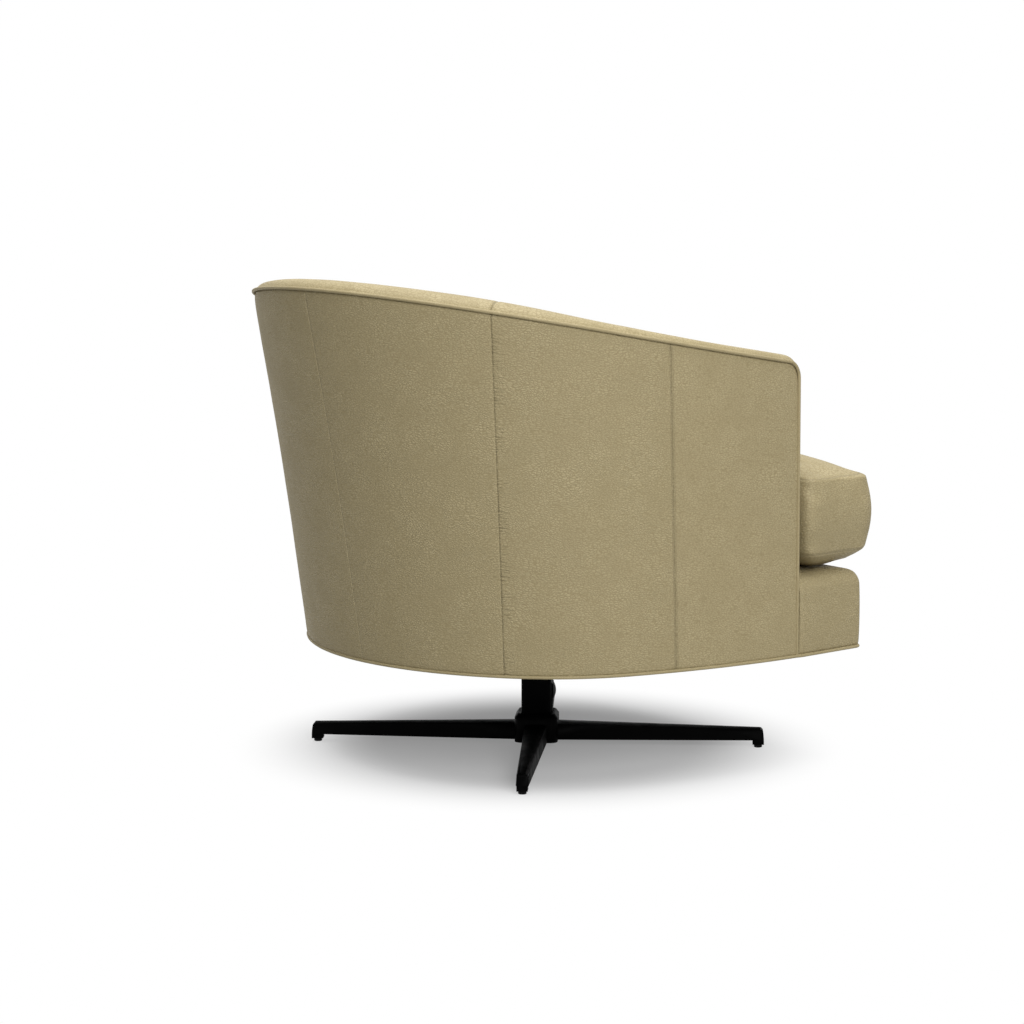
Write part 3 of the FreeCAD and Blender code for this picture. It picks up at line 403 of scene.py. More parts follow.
def new_material(name, roughness=0.5):
    """A material with its node tree and its shader."""
    material = bpy.data.materials.new(name)
    material.use_nodes = True
    shader = material.node_tree.nodes["Principled BSDF"]
    shader.inputs["Roughness"].default_value = roughness
    return material, material.node_tree, shader


def object_place(tree):
    """Object coordinates, which are metres of the shared frame."""
    return node(tree, "TexCoord").outputs["Object"]


def dress(tree, shader, color, height, strength=1.0, distance=MM, roughness=None):
    """Link a colour, a bump and perhaps a roughness to a shader."""
    bump = node(tree, "Bump", None, Strength=strength, Distance=distance, Height=height)
    tree.links.new(color, shader.inputs["Base Color"])
    tree.links.new(bump.outputs[0], shader.inputs["Normal"])
    if roughness is not None:
        tree.links.new(roughness, shader.inputs["Roughness"])


def leather(name, sewing, cell=5.2, grain_depth=1.0):
    """Pebbled leather; sewing takes and gives back a colour and a height."""
    material, tree, shader = new_material(name)
    place = object_place(tree)
    grain = placed(tree, HIDE_GRAIN, Place=place, Base=HIDE, Cell_size=cell)
    height = times(tree, grain["Height"], grain_depth)
    color, height = sewing(tree, place, grain["Color"], height)
    dress(tree, shader, color, height, roughness=grain["Roughness"])
    shader.inputs["Specular IOR Level"].default_value = HIDE_SHINE
    return material


def sewn(edges=()):
    """Sewing for the two numbers of the map "edges": each has (pucker, stitch, dip, dark); dark is the
    strength of a painted line, painted shade in the seam's crease when positive and a painted highlight on
    a raised seam when negative.
    """
    def sewing(tree, place, color, height):
        for index, (pucker, stitch, dip, dark) in enumerate(edges):
            near, run = map_of(tree, "edges")[index], map_of(tree, "cloth")[1]
            seam = placed(tree, SEWN_EDGE, Distance=near, Run=run, Pucker=pucker, Stitch_at=STITCH_AT,
                          Stitch=stitch, Dip=dip)
            height = plus(tree, height, seam["Height"])
            # Painted light: the seam's line is coloured darker as painted shade in its crease where dark is
            # positive, and lighter as a painted highlight on a raised seam where dark is negative.
            shade = toned(HIDE, 0.42 if dark > 0 else 1.3)
            color = mixed(tree, times(tree, seam["Line"], abs(dark)), color, shade)
            color = mixed(tree, times(tree, seam["Thread"], 0.5), color, toned(HIDE, 0.55))
        return color, height
    return sewing


LEATHER = leather("hide", sewn())
# The fourth number of each edge sets the painted line: the middle seam of the back gets a painted highlight
# along its raised ridge, the other seams a faint painted shade.
LEATHER_BACK = leather("hide, middle seam and puckered seam",
                       sewn([(0.1, 0.0, -2.6, -1.0), (0.3, 0.0, 0.28, 0.06)]))
LEATHER_SHOULDER = leather("hide, puckered seam and stitched seam",
                           sewn([(1.0, 0.0, 0.28, 0.06), (0.15, 1.0, 0.35, 0.08)]))
LEATHER_ARM = leather("hide, stitched seam", sewn([(0.1, 1.0, 0.35, 0.08), (0.0, 0.0, 0.0, 0.0)]),
                      grain_depth=0.75)
print("leathers", [material.name for material in bpy.data.materials if "hide" in material.name])

# %% [markdown]
# The outer leather is cut in six panels. Each is a grid whose columns lean with the seams and whose
# rows run from the piping at the foot up to the rim. Every point is put on the wall by its turn and
# level, then pushed in or out a little. The taut skin lies inside the straight line from foot to rim,
# because it is stretched between its two edges, and it tucks in at each seam and at the piping. Two
# maps keep the distances that the material needs. Solidify gives the skin its thickness inwards.

# %% Outer leather panels
WELT_PROUD = 0.0015
WELT_SIZE = 0.005
PANEL_LOW = FOOT_LEVEL + WELT_SIZE - 0.0012
SEAM_HEADINGS = {"shoulder": (40.9, 39.5), "arm": (82.2, 75.8)}
SEAM_LEVELS = (0.150, 0.760)
SKIN = 0.0025
WALL_HOLLOW = 0.0052


def hollow(turn, level):
    """How far the taut skin lies inside the straight line from foot to rim; the arms are flatter."""
    share = (level - FOOT_LEVEL) / (RIM_BACK - FOOT_LEVEL)
    return WALL_HOLLOW * math.sin(math.pi * clamped(share)) * (1 - 0.26 * abs(turn))


def seam_turn(seam, level):
    """Turn of a leaning seam at a level, from its headings in degrees about the swivel axis."""
    if seam == "middle":
        return 0.0
    if seam == "front":
        stop = ARM_FRONT + AXIS_Y + PANEL_DEPTH
        return turn_where(OUTSIDE, level, 0.0, 1, lambda spot: spot.y <= stop)
    foot, top = SEAM_HEADINGS[seam]
    low, high = SEAM_LEVELS
    angle = math.radians(foot + (top - foot) * (level - low) / (high - low))
    return turn_where(OUTSIDE, level, 0.0, 1, lambda spot: math.atan2(spot.x, spot.y - AXIS_Y) >= angle)


def link_piece(name, mesh_or_bmesh, material, body, replaced=()):
    """An object from a mesh, with its material, riding on a body in place of CAD nodes."""
    if isinstance(mesh_or_bmesh, bmesh.types.BMesh):
        mesh = bpy.data.meshes.new(name)
        mesh_or_bmesh.to_mesh(mesh)
        mesh_or_bmesh.free()
    else:
        mesh = mesh_or_bmesh
    mesh.materials.clear()
    mesh.materials.append(material)
    mesh.polygons.foreach_set("use_smooth", [True] * len(mesh.polygons))
    piece = bpy.data.objects.new(name, mesh)
    bpy.context.scene.collection.objects.link(piece)
    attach(piece, body)
    if replaced:
        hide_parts(*replaced)
    return piece


def evaluated_mesh(thing):
    """The mesh of an object with its modifiers applied."""
    bpy.context.view_layer.update()
    graph = bpy.context.evaluated_depsgraph_get()
    return bpy.data.meshes.new_from_object(thing.evaluated_get(graph))


def grid(columns, rows, *titles):
    """A flat grid, its maps, and its vertices with their shares of the way along and across."""
    bm = bmesh.new()
    bmesh.ops.create_grid(bm, x_segments=columns, y_segments=rows, size=1.0)
    maps = [bm.loops.layers.uv.new(title) for title in titles]
    return bm, maps, [(vert, (vert.co.x + 1) / 2, (vert.co.y + 1) / 2) for vert in bm.verts]


def fill_maps(bm, maps, facts):
    """Write a pair of numbers for each map at each vertex."""
    for face in bm.faces:
        for loop in face.loops:
            for layer, pair in zip(maps, facts[loop.vert]):
                loop[layer].uv = pair


def face_out(bm, inward, choose=lambda faces: faces[len(faces) // 2]):
    """Let all faces agree, and turn them round if a chosen one looks inward."""
    bmesh.ops.recalc_face_normals(bm, faces=bm.faces)
    bm.faces.ensure_lookup_table()
    if inward(choose(bm.faces)):
        bmesh.ops.reverse_faces(bm, faces=bm.faces)


def thicken(piece, thickness=SKIN, name="skin"):
    """Give a skin its thickness, inwards."""
    skin = piece.modifiers.new(name, "SOLIDIFY")
    skin.thickness = thickness
    skin.offset = -1.0
    return piece


PANEL_DEPTH = WELT_SIZE - WELT_PROUD / 2 - 0.0008
CORNER = arm_corner(PANEL_DEPTH)


def rim_top(turn):
    """Top level of the outer leather at a turn, with the arm's round corner."""
    centre, radius, lean = CORNER
    level = RIM_ARM
    for _ in range(8):
        y = wall_point(OUTSIDE, turn, level).y
        if y > centre.x + radius * math.sin(lean):
            level = rim_level(y, PANEL_DEPTH)
        else:
            fall = min(centre.x - y, radius)
            level = centre.y + math.sqrt(radius * radius - fall * fall)
    return level


TOP_STEPS = 600
RIM_TOPS = [rim_top(FRONT_TURN * i / TOP_STEPS) for i in range(TOP_STEPS + 1)]
SMOOTH_UP_TO = 2.7


def panel_top(turn):
    """The same level, read between the steps of a table where the rim is smooth."""
    if turn > SMOOTH_UP_TO:
        return rim_top(turn)
    place = turn * TOP_STEPS / FRONT_TURN
    low = int(place)
    return RIM_TOPS[low] + (RIM_TOPS[low + 1] - RIM_TOPS[low]) * (place - low)


def leather_panel(name, seams, side, columns, rows, material, replaced):
    """One skin panel between two leaning seams on one side of the chair."""
    bm, maps, places = grid(columns, rows, "edges", "cloth")
    facts = {}
    turns = []
    for row in range(rows + 1):
        level = PANEL_LOW + (0.70 - PANEL_LOW) * row / rows
        turns.append([seam_turn(seam, level) for seam in seams])
    for vert, column, row in places:
        start, end = turns[round(row * rows)]
        if seams[1] == "front":
            column = 1 - (1 - column) ** 1.6
        turn = start + (end - start) * column
        top = panel_top(turn)
        level = PANEL_LOW + (top - PANEL_LOW) * row
        spot = wall_point(OUTSIDE, side * turn, level)
        near = (spot - wall_point(OUTSIDE, side * start, level)).length
        far = (spot - wall_point(OUTSIDE, side * end, level)).length
        facts[vert] = ((near, far), (near, level))
        ends = min(level - PANEL_LOW, top - level)
        at_seams = math.exp(-near / 0.003) * (seams[0] != "middle") + math.exp(-far / 0.003)
        tuck = 0.0002 * at_seams + 0.0010 * math.exp(-ends / 0.003)
        full = 0.0005 * (1 - math.exp(-min(near, far, ends) / 0.022))
        slow = 0.0004 * noise.noise(spot * 9.0) + 0.0002 * noise.noise(spot * 31.0)
        inwards = hollow(turn, level) * (1 - math.exp(-ends / 0.01))
        inwards += 0.0026 * math.exp(-(top - level) / 0.011)
        vert.co = wall_point(OUTSIDE, side * turn, level, tuck + inwards - full - slow)
    fill_maps(bm, maps, facts)

    def inward(face):
        away = face.calc_center_median() - Vector((0, AXIS_Y, 0))
        return face.normal.xy.dot(away.xy) < 0

    face_out(bm, inward)
    return thicken(link_piece(name, bm, material, "seat", replaced))


SIDES = ((1, "left"), (-1, "right"))
PANELS = {
    "back": (("middle", "shoulder"), 84, 150, LEATHER_BACK),
    "shoulder": (("shoulder", "arm"), 84, 140, LEATHER_SHOULDER),
    "arm": (("arm", "front"), 70, 130, LEATHER_ARM),
}
for title, (seams, columns, rows, material) in PANELS.items():
    for side, word in SIDES:
        place = (title, word)
        piece = leather_panel("skin_%s_%s" % place, seams, side, columns, rows, material,
                              ["outer_%s_panel_%s" % place])
        print(piece.name, len(piece.data.vertices))

# %% [markdown]
# The top of the wall is closed by a band of leather that runs up one arm, over the rim and down the
# other arm. It is crowned, because it is stuffed, and sewn across over each shoulder. The band is one
# grid: stations along the rim, and steps across from the outer to the inner edge, each lifted by a
# crown that turns down at both sides. Stations follow the turns on the long curve, and the round corner
# and the straight front by angle and by level.

# %% Stations along the rim
BAND_EDGE = WELT_SIZE - WELT_PROUD + 0.0003
BAND_LOW = 0.1943


def face_at(faces, y, level, inset):
    """Point of the left arm's face at a depth y and a level."""
    turn = turn_where(faces, level, inset, 1, lambda spot: spot.y <= y)
    return wall_point(faces, turn, level, inset)


def rim_stations(lowest=BAND_LOW, step=0.006):
    """Stations of half the rim from the middle of the back: by turn, then by angle, then by level."""
    centre, radius, lean = arm_corner(0.0)
    stations = []
    corner_y = centre.x + radius * math.sin(lean)
    count = round(HALF_LENGTH / step)
    for index in range(count + 1):
        turn = FRONT_TURN * index / count
        if rim_spot(OUTSIDE, turn, 0.0, 0.0).y > corner_y + 0.6 * step:
            stations.append(("turn", turn))
    bend = math.pi / 2 + lean
    count = max(6, round(bend * radius / (0.7 * step)))
    for index in range(count + 1):
        stations.append(("angle", lean - bend * index / count))
    drop = centre.y - lowest
    count = round(drop / step)
    for index in range(1, count + 1):
        stations.append(("level", centre.y - drop * index / count))
    return stations


def rim_side_point(kind, value, depth):
    """Depth y, level and outward direction in side view of a corner or front station."""
    centre, radius, _ = arm_corner(depth)
    if kind == "angle":
        up = Vector((math.sin(value), math.cos(value)))
        spot = centre + up * radius
        return spot.x, spot.y, up
    return centre.x - radius, value, Vector((-1.0, 0.0))


def rim_station_point(faces, station, inset, depth, side):
    """Point of a face at a station, and the direction away from the rim."""
    kind, value = station
    if kind == "turn":
        spot = rim_spot(faces, value, inset, depth)
        if value > 2.0:
            outer = rim_spot(OUTSIDE, value, 0.0, depth)
            y = spot.y + (outer.y - spot.y) * eased(clamped((value - 2.0) / 0.75))
            spot = face_at(faces, y, rim_level(y, depth), inset)
        away = (Vector((RIM_CENTRE.x, RIM_CENTRE.y)) - Vector((spot.y, spot.z))).normalized()
    else:
        y, level, away = rim_side_point(kind, value, depth)
        spot = face_at(faces, y, level, inset)
    return Vector((side * spot.x, spot.y, spot.z)), Vector((0.0, away.x, away.y))


STATIONS = rim_stations()
print("stations on half of the rim", len(STATIONS))


# %% Rim band
BAND_DOME = 0.0105
BAND_STEPS = 22


def band_dome(station):
    """Height of the stuffing under the band: full over the back, hardly any at the front of the arms."""
    kind, turn = station
    share = clamped((turn - 0.9) / 1.8) if kind == "turn" else 1.0
    return 0.0012 + BAND_DOME * (1 - eased(share))


def band_crown(across, width, dome):
    """Height of the band over the rim line at a share of its width."""
    edge = min(across, 1 - across) * width
    return -0.0010 + 0.0084 * (1 - math.exp(-edge / 0.0036)) + dome * (1 - (2 * across - 1) ** 2)


def mirrored_path(points):
    """Points of half a rim, from its low end on one side over the back to the other side."""
    return mirrored(points)[:-1] + points


def band_piece(name, chosen, material, replaced):
    """A length of the band over chosen stations, each given with its side of the chair."""
    bm, maps, places = grid(len(chosen) - 1, BAND_STEPS, "edges", "cloth")
    facts = {}
    rows = []
    run = 0.0
    for side, index in chosen:
        outer, away = rim_station_point(OUTSIDE, STATIONS[index], BAND_EDGE, 0.0, side)
        inner, _ = rim_station_point(INSIDE, STATIONS[index], -BAND_EDGE, 0.0, side)
        if rows:
            run += (outer - rows[-1][0]).length
        rows.append((outer, inner, away, run, band_dome(STATIONS[index])))
    total = run
    for vert, along, across in places:
        outer, inner, away, run, dome = rows[round(along * (len(chosen) - 1))]
        across = 0.5 - 0.5 * math.cos(math.pi * across)
        width = (inner - outer).length
        ends = min(run, total - run)
        lift = band_crown(across, width, dome) - 0.0006 * math.exp(-ends / 0.003)
        spot = outer.lerp(inner, across)
        lift += 0.0004 * noise.noise(spot * 14.0)
        vert.co = spot + away * lift
        facts[vert] = ((run, total - run), (run, across * width))
    fill_maps(bm, maps, facts)
    face_out(bm, lambda face: face.normal.z < -0.3 or face.normal.y > 0.9)
    thicken(link_piece(name, bm, material, "seat", replaced))


def station_heading(station):
    """Heading of a station's outer point about the swivel axis, in degrees."""
    spot, _ = rim_station_point(OUTSIDE, station, 0.0, 0.0, 1)
    return math.degrees(math.atan2(spot.x, spot.y - AXIS_Y))


shoulder_top = SEAM_HEADINGS["shoulder"][1]
shoulder_station = next(i for i, station in enumerate(STATIONS) if station_heading(station) >= shoulder_top)
# Both ends of each band length get a faint painted shade line at their seam.
BAND_LEATHER = leather("hide, band", sewn([(0.1, 0.0, 0.7, 0.2)] * 2), grain_depth=0.35)
across_back = [(-1, i) for i in range(shoulder_station, 0, -1)]
across_back += [(1, i) for i in range(shoulder_station + 1)]
band_piece("band_back", across_back, BAND_LEATHER, ["rim_band_back"])
for side, word in SIDES:
    run = [(side, i) for i in range(shoulder_station, len(STATIONS))]
    band_piece("band_" + word, run, BAND_LEATHER, ["rim_band_" + word])
print("shoulder seam at station", shoulder_station)

# %% [markdown]
# Piping is a cord wrapped in a strip of the same hide and sewn into a seam. It shows as a round bead
# with a dark line where it meets the skins. A curve with a round bevel makes it: its points follow the
# same stations, and a curve keeps one thickness everywhere. The curve is turned into a mesh, so that it
# is a piece like the others.

# %% Piping
def piping(name, points, replaced, closed=False):
    """A bead of piping along points, as a mesh."""
    data = bpy.data.curves.new(name, "CURVE")
    data.dimensions = "3D"
    data.bevel_depth = WELT_RADIUS
    data.bevel_resolution = 3
    data.use_fill_caps = True
    spline = data.splines.new("NURBS")
    spline.points.add(len(points) - 1)
    for point, place in zip(spline.points, points):
        point.co = (*place, 1.0)
    spline.order_u = 3
    spline.use_endpoint_u = not closed
    spline.use_cyclic_u = closed
    spline.resolution_u = 2
    helper = bpy.data.objects.new(name, data)
    bpy.context.scene.collection.objects.link(helper)
    mesh = evaluated_mesh(helper)
    bpy.data.objects.remove(helper)
    link_piece(name, mesh, PIPING, "seat", replaced)


WELT_RADIUS = WELT_SIZE / 2
PIPING = leather("hide, piping", sewn(), cell=2.4, grain_depth=0.3)
WELT_INSET = WELT_RADIUS - WELT_PROUD
WELT_DEPTH = WELT_RADIUS - WELT_PROUD / 2
for word, faces, inset, lowest in (("outer", OUTSIDE, WELT_INSET, 0.1722),
                                   ("inner", INSIDE, -WELT_INSET, 0.2903)):
    half = [rim_station_point(faces, station, inset, WELT_DEPTH, 1)[0]
            for station in rim_stations(lowest)]
    piping("piping_" + word, mirrored_path(half), [word + "_rim_welt"])


# %% Front of the T and the piping at the foot
FRAME_FRONT = (0.3935, 0.294, 0.028, 0.014)
APRON = (0.3935, 0.3035, 0.020, 0.012)


def front_outline(plan, inset, steps):
    """Points of a T front from left to right; its plan gives half its width, reach, bow and corner."""
    half, reach, bow, corner = plan
    slope = math.atan2(4 * bow, 2 * (half - corner))
    radius = max(corner - inset, 0.001)
    centre = Vector((half - inset - radius, -(reach - inset) + radius))
    swing = math.pi / 2 - slope
    bend = [centre + Vector((math.cos(swing * i / 8), -math.sin(swing * i / 8))) * radius for i in range(9)]
    last = bend[-1]
    nose = Vector((0.0, last.y - bow * (last.x / half) ** 2))
    middle, size = circle_through(last, nose, (-last.x, last.y))
    sweep = math.asin(last.x / size)
    bow_line = []
    for i in range(1, steps):
        angle = sweep * (1 - 2 * i / steps)
        bow_line.append(Vector((middle.x + size * math.sin(angle), middle.y - size * math.cos(angle))))
    return [Vector((point.x, point.y + AXIS_Y)) for point in bend + bow_line + mirrored(bend)]


def foot_path(level, inset, step=0.008, plan=APRON):
    """Closed outline of the whole shell at its foot."""
    count = round(HALF_LENGTH / step)
    turns = [FRONT_TURN * i / count for i in range(count + 1)]
    left = [Vector((*wall_point(OUTSIDE, turn, FOOT_LEVEL, inset).xy, level)) for turn in turns]
    front = [Vector((*point, level)) for point in front_outline(plan, inset, 90)]
    arm = Vector((plan[0] - inset, ARM_FRONT + AXIS_Y - 0.004, level))
    gap = [arm.lerp(front[0], i / 10) for i in range(10)]
    return left + gap + front + mirrored(gap) + mirrored(left)[:-1]


bottom = foot_path(FOOT_LEVEL + WELT_RADIUS, WELT_INSET)
piping("piping_foot", bottom, ["bottom_welt"], closed=True)
print("piping at the foot", len(bottom), "points")

# %% [markdown]
# The front of the seat frame is wrapped in one piece of hide, drawn round the two front corners and
# rolled over a soft edge on to the deck, where the cushion hides its end. A grid does this well: its
# columns follow the T front in plan, and its rows follow a section with a straight lower part, a
# quarter of an ellipse and a flat top.

# %% Apron
DECK = 0.290
ROLL_START = 0.264
ROLL_INSET = 0.026
UPRIGHT_ROWS, ROLL_ROWS, TOP_ROWS = 18, 12, 9


def apron_section():
    """Insets and levels from the foot over the roll to the flat top under the cushion."""
    steps = [(0.0, PANEL_LOW + (ROLL_START - PANEL_LOW) * i / UPRIGHT_ROWS) for i in range(UPRIGHT_ROWS)]
    rise = DECK - 0.0003 - ROLL_START
    for i in range(ROLL_ROWS + 1):
        angle = math.pi / 2 * i / ROLL_ROWS
        steps.append((ROLL_INSET * (1 - math.cos(angle)), ROLL_START + rise * math.sin(angle)))
    steps += [(ROLL_INSET + 0.010 * i, DECK - 0.0003 - 0.0001 * i) for i in range(1, TOP_ROWS + 1)]
    return steps


def apron_line(inset, back):
    """Points of the T front at an inset, from one arm round the front to the other."""
    front = front_outline(APRON, inset, 80)
    start = Vector((front[0].x, back))
    side = [start.lerp(front[0], i / 18) for i in range(18)]
    return side + front + mirrored(side)


section = apron_section()
at_welt = ARM_FRONT + AXIS_Y - 0.0006
at_band = ARM_FRONT + AXIS_Y - 0.0070
lines = []
for inset, level in section:
    lines.append(apron_line(inset, at_welt + (at_band - at_welt) * clamped((inset - 0.003) / 0.009)))
columns, rows = len(lines[0]) - 1, len(section) - 1
bm, _, places = grid(columns, rows)
for vert, along, across in places:
    row = round(across * rows)
    inset, level = section[row]
    spot = lines[row][round(along * columns)]
    up = min(1.0, (level - PANEL_LOW) / (ROLL_START - PANEL_LOW))
    full = 0.0012 * math.sin(math.pi * up) if row < UPRIGHT_ROWS else 0.0
    tuck = 0.0012 * math.exp(-(level - PANEL_LOW) / 0.003)
    place = Vector((*spot, level))
    outward = Vector((spot.x, spot.y - AXIS_Y + 0.12, 0)).normalized()
    slow = 0.0006 * noise.noise(place * 8.0) + 0.0003 * noise.noise(place * 27.0)
    free = 1 - math.exp(-(at_welt - spot.y) / 0.008)
    vert.co = place + outward * ((full + slow) * max(0.0, free) - tuck - 0.0003)


def foremost(faces):
    """The face nearest to the nose of the apron."""
    return min(faces, key=lambda face: face.calc_center_median().y + abs(face.calc_center_median().x))


face_out(bm, lambda face: face.normal.y > 0, foremost)
apron = thicken(link_piece("apron_cover", bm, LEATHER, "seat", ["apron_panel", "apron_pad"]))
print("apron", len(apron.data.vertices))

# %% [markdown]
# A loose seat cushion is foam in a sewn cover, and its leather is a little too large for it: the
# panels swell between their seams and the seams wander. Modelling that by hand looks stiff. Instead the
# solids of the cushion are merged into one even mesh by a voxel remesh. Two rules then shape it: a low
# ridge along the seams of the boxing, and a front whose corners stand further out, with a top that is
# fuller in the middle and falls to its edges. Last it is made a little smaller and blown up as cloth
# with air pressure while the seams are held. No point may move further than a cap, so the cushion stays
# in its space between the arms. The same recipe pads the linings of the back and arms.

# %% Padding by cloth simulation
def merged_copy(name, sources):
    """One mesh from copies of CAD solids, with their loose triangles merged."""
    bm = bmesh.new()
    for source in sources:
        bm.from_mesh(NODES[source].data)
    bmesh.ops.remove_doubles(bm, verts=bm.verts, dist=0.00002)
    mesh = bpy.data.meshes.new(name)
    bm.to_mesh(mesh)
    bm.free()
    return mesh


def voxel_mesh(mesh, voxel, relax):
    """An even closed mesh from a rough one."""
    thing = bpy.data.objects.new("work", mesh)
    bpy.context.scene.collection.objects.link(thing)
    made = thing.modifiers.new("voxels", "REMESH")
    made.mode = "VOXEL"
    made.voxel_size = voxel
    found = evaluated_mesh(thing)
    bpy.data.objects.remove(thing)
    bm = bmesh.new()
    bm.from_mesh(found)
    for _ in range(relax):
        bmesh.ops.smooth_vert(bm, verts=bm.verts, factor=0.5, use_axis_x=True, use_axis_y=True,
                              use_axis_z=True)
    bm.to_mesh(found)
    bm.free()
    return found


CLOTH = {
    "quality": 5, "mass": 0.3, "tension_stiffness": 18.0, "compression_stiffness": 18.0,
    "shear_stiffness": 8.0, "bending_stiffness": 0.6, "use_pressure": True, "vertex_group_mass": "held",
}
LAST_FRAME = 20


def blown_up(thing, held, inset, cap, sideways, pressure):
    """Run the cloth on an object and move its points by what it did, within the caps."""
    mesh = thing.data
    rest = [vert.co.copy() for vert in mesh.vertices]
    normals = [vert.normal.copy() for vert in mesh.vertices]
    weights = [held(spot, normal) for spot, normal in zip(rest, normals)]
    group = thing.vertex_groups.new(name="held")
    for index, weight in enumerate(weights):
        group.add([index], weight, "REPLACE")
        mesh.vertices[index].co = rest[index] - normals[index] * inset * (1 - weight)
    cloth = thing.modifiers.new("cloth", "CLOTH")
    for key, value in CLOTH.items():
        setattr(cloth.settings, key, value)
    cloth.settings.uniform_pressure_force = pressure
    cloth.settings.effector_weights.gravity = 0.0
    cloth.point_cache.frame_start = 1
    cloth.point_cache.frame_end = LAST_FRAME
    for frame_number in range(1, LAST_FRAME + 1):
        bpy.context.scene.frame_set(frame_number)
    swollen = [vert.co.copy() for vert in evaluated_mesh(thing).vertices]
    thing.modifiers.remove(cloth)
    bpy.context.scene.frame_set(1)
    far = 0.0
    for vert, start in zip(mesh.vertices, rest):
        step = swollen[vert.index] - start
        level = Vector((step.x, step.y, 0.0))
        if level.length > sideways:
            level *= sideways / level.length
        step = Vector((level.x, level.y, step.z))
        if step.length > cap:
            step *= cap / step.length
        far = max(far, step.length)
        vert.co = start + step
    return far


def stuffed(name, sources, voxel, material, body, held, inset=0.002, cap=0.005, sideways=0.004,
            pressure=4.0, relax=2, replaced=None, shape=None, grown=None):
    """A padded piece made from CAD solids by a voxel remesh and a cloth simulation.

    Smoothing takes the edges away, so the mesh is grown again where a function of place and normal asks.
    """
    mesh = voxel_mesh(merged_copy(name, sources), voxel, relax)
    if grown:
        for vert, normal in [(vert, vert.normal.copy()) for vert in mesh.vertices]:
            vert.co += grown(vert.co, normal)
    if shape:
        for vert in mesh.vertices:
            vert.co = shape(vert.co)
    piece = link_piece(name, mesh, material, body, replaced or sources)
    far = blown_up(piece, held, inset, cap, sideways, pressure)
    smooth = piece.modifiers.new("smooth", "SUBSURF")
    smooth.levels = 1
    smooth.render_levels = 1
    print(name, len(mesh.vertices), "points moved at most", round(far / MM, 1), "mm")


# %% Cushion
SEAM_LOW = 0.318
SEAM_HIGH = 0.430
SEAM_MIDDLE = (SEAM_LOW + SEAM_HIGH) / 2
SEAM_RIDGE = 0.0029
T_HALF = 0.394
CORNER_AHEAD = 0.028
TOP_FALL = 0.10
TOP_FULLER = 0.0068


def seam_share(spot, reach):
    """How near a point lies to the level of a seam, from 1 on it down to 0."""
    return max(math.exp(-((spot.z - seam) / reach) ** 2) for seam in (SEAM_LOW, SEAM_HIGH))


def near_seam(spot, normal):
    """Hold the seams of the boxing, and the underside where it lies on the deck."""
    return 1.0 if spot.z < DECK + 0.004 else 0.6 * seam_share(spot, 0.006)


def seam_ridge(spot, normal):
    """The seams of the boxing stand out as a soft edge, where the skin turns over."""
    turning = 4 * normal.z ** 2 * (1 - normal.z ** 2)
    out = SEAM_RIDGE * seam_share(spot, 0.014) * turning
    return Vector((out * normal.x, out * normal.y, 0.25 * out * normal.z))


def fuller_front(spot):
    """Set the front corners of the T out and its top full in the middle and flat at the edges."""
    behind = ARM_FRONT + AXIS_Y
    side = spot.x / T_HALF
    forward = clamped((behind - 0.004 - spot.y) / 0.09)
    ahead = CORNER_AHEAD * min(1.0, side ** 2)
    swell = 0.001 * math.sin(math.pi * clamped((spot.z - SEAM_LOW) / (SEAM_HIGH - SEAM_LOW)))
    out = math.copysign(min(1.0, abs(spot.x) / 0.38) ** 6, spot.x)
    front_edge = AXIS_Y - 0.331 + 0.032 * side ** 2
    to_edge = min(T_HALF - abs(spot.x), spot.y - front_edge) if spot.y < behind else TOP_FALL
    outer = 1 - clamped(to_edge / TOP_FALL)
    height = max(0.0, spot.z - SEAM_HIGH)
    between = 1 - math.exp(-max(0.0, 0.352 - abs(spot.x)) / 0.035)
    fuller = TOP_FULLER * between * (1 - math.exp(-height / 0.006))
    crown = height * (0.32 + 0.61 * (1 - outer * outer)) + fuller
    slimmer = 1 - 0.07 * forward * out * out
    level = SEAM_MIDDLE + (min(spot.z, SEAM_HIGH) + crown - SEAM_MIDDLE) * slimmer
    return Vector((spot.x + forward * swell * out, spot.y - forward * (ahead + swell), level))


def boxing_seams(tree, place, color, height):
    """Sewing for the cushion: its two seams are found by their level, and each gets a dip and a painted
    shade line.
    """
    wander = maths(tree, "SUBTRACT", noisy(tree, place, 26.0, 2.0), 0.5)
    level = plus(tree, split(tree, place)[2], times(tree, wander, 0.003))
    for seam in (SEAM_LOW, SEAM_HIGH):
        off = maths(tree, "ABSOLUTE", maths(tree, "SUBTRACT", level, seam))
        # Painted shade: each boxing seam gets a darker line where the skin dips into it.
        painted_seam_line = smooth_range(tree, off, 0.0003, 0.0012, 1.0, 0.0)
        color = mixed(tree, times(tree, painted_seam_line, 0.5), color, toned(HIDE, 0.55))
        height = plus(tree, height, smooth_range(tree, off, 0.0006, 0.0035, -0.7, 0.0))
    return color, height


CUSHION_PARTS = ["cushion_bottom", "cushion_boxing", "cushion_zip", "cushion_core", "cushion_top"]
CUSHION_COVERS = [part for part in CUSHION_PARTS if part != "cushion_zip"]
CUSHION_LEATHER = leather("hide, cushion", boxing_seams, grain_depth=0.8)
stuffed("cushion", CUSHION_PARTS, 0.008, CUSHION_LEATHER, "seat_cushion", near_seam, cap=0.010,
        sideways=0.006, pressure=5.5, relax=4, replaced=CUSHION_COVERS, shape=fuller_front,
        grown=seam_ridge)

# %% [markdown]
# A zip closes the back of the cushion cover. It is a woven tape with two rows of coil teeth that meet in
# its middle. The strip follows the boxing at one level, and its teeth come from a sine along the map's
# run, which keeps them even round the bends.

